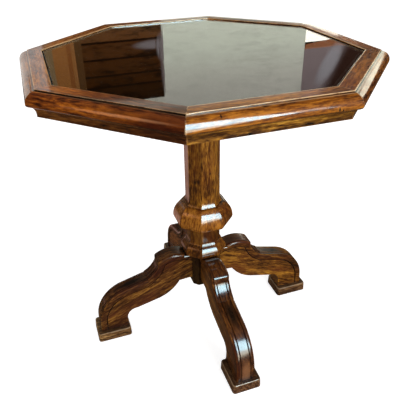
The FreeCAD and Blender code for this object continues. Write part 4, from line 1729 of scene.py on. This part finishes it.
    def veil(self, name: str, centre: Pair, radii: Pair, colour: Colour, depth: float,
             slant: float = 0.0, end: float = 3.0) -> None:
        """Hang a soft-edged patch of light before the back wall.

        Args:
            name: its name.
            centre: its middle, across and up.
            radii: its half width and half height.
            colour: its colour.
            depth: how much of the wall it hides in its middle.
            slant: how far it leans sideways for each metre up.
            end: how far to the right it may reach.
        """
        (across, up), (wide, high) = centre, radii
        reach = wide + abs(slant) * high

        def mask(nodes: Nodes) -> Value:
            """How much of the wall it hides."""
            x, _, z = nodes.parts()
            rise = z - up
            aside, rise = (x - across - rise * slant) * (1 / wide), rise * (1 / high)
            return (aside * aside + rise * rise).step(1.0, 0.1) * depth

        self.backdrop(name, (across - reach, min(across + reach, end)), (up - high, up + high),
                      colour, before=0.04, mask=mask)

    def shell(self) -> None:
        """Put the dark walls, the ceiling and the brown floor round the table."""
        bm = bmesh.new()
        bmesh.ops.create_cone(bm, cap_ends=False, radius1=self.room, radius2=self.room,
                              segments=48, depth=self.ceiling,
                              matrix=Matrix.Translation((0, 0, self.ceiling / 2)))
        self.card("dark_walls", bm, 1.0, shade(52, 39, 29))
        for name, level, colour in (("dark_ceiling", self.ceiling, shade(80, 67, 56)),
                                    ("brown_floor", 0.0006, shade(82, 62, 44))):
            bm = bmesh.new()
            bmesh.ops.create_circle(bm, cap_ends=True, radius=self.room, segments=48,
                                    matrix=Matrix.Translation((0, 0, level)))
            self.card(name, bm, 1.0, colour)
        self.panel("floor_glow", [(-0.9, 0.45, 0.001), (0.05, 0.45, 0.001), (0.05, 1.7, 0.001),
                                  (-0.9, 1.7, 0.001)], 1.0, shade(224, 173, 158))

    def window(self) -> None:
        """Stand the window in front of the table, its sky over the ground outside."""
        panes = (("window_sky", ((0.30, 0.90), (0.86, 0.90), (1.06, 1.12), (1.04, 1.6),
                                 (0.92, 2.3), (0.62, 3.05), (0.30, 3.3)),
                  26.0, (0.60, 0.89, 1.0), ((0.50, 0.80, 1.0), 1.6, 3.2)),
                 ("window_ground", ((0.30, 0.03), (0.40, 0.03), (0.86, 0.90), (0.30, 0.90)),
                  13.0, (1.0, 0.95, 0.72), ((0.9, 0.97, 0.92), 0.3, 0.85)),
                 ("window_frame", ((1.06, 1.12), (1.34, 1.05), (1.34, 1.75), (1.04, 1.6)),
                  7.0, (1.0, 0.84, 0.72), None))
        for name, corners, light, colour, fade in panes:
            self.panel(name, [(across, self.window_y, up) for across, up in corners], light,
                       colour, fade=fade)

    def boards(self) -> None:
        """Build the boards on the left of the wall that the glass mirrors."""
        edges = (-0.26, -0.20, -0.105, -0.075, -0.05, 0.0)
        uprights = (shade(140, 114, 80), shade(166, 108, 57), shade(148, 90, 45),
                    shade(162, 108, 60), shade(98, 66, 36))
        for number, colour in enumerate(uprights):
            self.backdrop(f"upright_board_{number + 1}", edges[number:number + 2], (0.0, 2.4),
                          colour)
        levels = (0.6, 1.264, 1.381, 1.498, 1.580, 1.70)
        planks = (shade(110, 70, 38), shade(90, 53, 24), shade(81, 46, 18), shade(73, 40, 13),
                  shade(61, 34, 12))
        gap, door = 0.007, self.door_left
        for number, colour in enumerate(planks):
            self.backdrop(f"plank_{number + 1}", (0.0, door),
                          (levels[number] + gap, levels[number + 1] - gap), colour, stains=0.85)
        self.backdrop("plank_gaps", (-0.02, door), (0.6, 1.70), shade(30, 15, 6), before=-0.01)
        for name, centre, radii, colour in (
                ("plank_haze", (0.52, 1.297), (0.20, 0.040), shade(150, 142, 144)),
                ("plank_glare", (0.56, 1.32), (0.05, 0.12), shade(162, 154, 158)),
                ("plank_edge_haze", (door, 1.42), (0.035, 0.30), shade(130, 112, 112))):
            self.veil(name, centre, radii, colour, 0.8, end=door)

    def back_wall(self) -> None:
        """Build the pale door, and what is beside and over it."""
        left, right = self.door_left, self.door_right
        self.backdrop("pale_door", (left, right), (0.6, 2.6), shade(246, 250, 230),
                      fade=(shade(236, 232, 218), 1.3, 1.75), stains=0.12)
        self.backdrop("pale_floor", (-0.2, left), (1.70, 2.6), shade(226, 222, 206), before=0.01)
        self.backdrop("sunlit_end", (right, 2.06), (1.1, 1.405), (1.0, 0.94, 0.82), 2.5)
        self.backdrop("sunlit_low", (1.72, 2.2), (0.5, 1.26), (1.0, 0.94, 0.78), 6.0)
        front = self.wall_y - 0.01
        self.panel("corner_board", [(right, front, 1.42), (2.6, front, 1.33), (2.6, front, 1.45),
                                    (right, front, 1.448)], 1.0, shade(174, 111, 76))
        self.backdrop("corner_fillet", (right, 2.6), (1.445, 1.460), shade(186, 132, 103))
        self.backdrop("mauve_wall", (right, 2.4), (1.460, 2.6), shade(156, 138, 138))
        self.veil("mauve_streak", (1.975, 1.59), (0.10, 0.21), shade(188, 184, 190), 0.75,
                  slant=-0.45)
        self.backdrop("dark_corner", (1.8, 3.0), (1.460, 2.6), shade(66, 42, 34), before=0.01,
                      mask=self.corner_mask)
        self.backdrop("dim_lintel", (-0.8, right), (1.80, 2.6), shade(168, 150, 120), before=0.03)
        self.backdrop("pale_strip", (-0.75, -0.26), (0.8, 2.4), (1.0, 0.91, 0.86), 0.78)

    def corner_mask(self, nodes: Nodes) -> Value:
        """Where the dark corner is, whose soft edge leans over the pale wall."""
        across, _, up = nodes.parts()
        return (across + (up - 1.46) * 0.47).step(2.06, 2.20)

    def warm_mask(self, nodes: Nodes) -> Value:
        """Where the warm light on the left is."""
        return nodes.spot((-2.83, -0.70, 1.8), (1.0, 0.5, 1.0))

    def build(self) -> None:
        """Set up the studio."""
        self.camera()
        self.floor()
        self.world()
        self.lamp("front_light", (0.62, -2.1, 1.15), (0.0, 0.0, 0.4), (1.2, 1.3), 30.0)
        self.lamp("top_light", (-0.5, 0.2, 2.6), (0.0, 0.0, 0.5), (1.8, 1.8), 16.0)
        self.shell()
        self.window()
        self.boards()
        self.back_wall()
        self.panel("side_light", [(2.84, 0.96, 0.85), (2.84, 0.96, 1.66), (2.57, 1.56, 1.66),
                                  (2.57, 1.56, 1.40)], 3.6, (1.0, 0.95, 0.74))
        self.wall("side_haze", (2.50, 2.40), (2.83, 1.75), (1.3, 2.2), 2.0, (0.96, 1.0, 0.82))
        self.wall("warm_light", (-2.9, -0.15), (-2.75, -1.3), (0.7, 3.0), 6.0, (1.0, 0.45, 0.2),
                  mask=self.warm_mask)
        self.wall("pale_low_wall", (-1.7, self.wall_y), (-0.6, self.wall_y), (0.15, 1.3), 0.85,
                  (1.0, 0.91, 0.84))


def main() -> None:
    """Build the table's looks, piece by piece."""
    bpy.context.scene.view_settings.view_transform = "Standard"
    for part in (Top(), Pane(), Column(), Legs(), Studio()):
        part.build()
        log.info("%s is built", type(part).__name__)


if __name__ == "__main__":
    logging.basicConfig(level=logging.INFO, format="%(name)s: %(message)s")
    main()
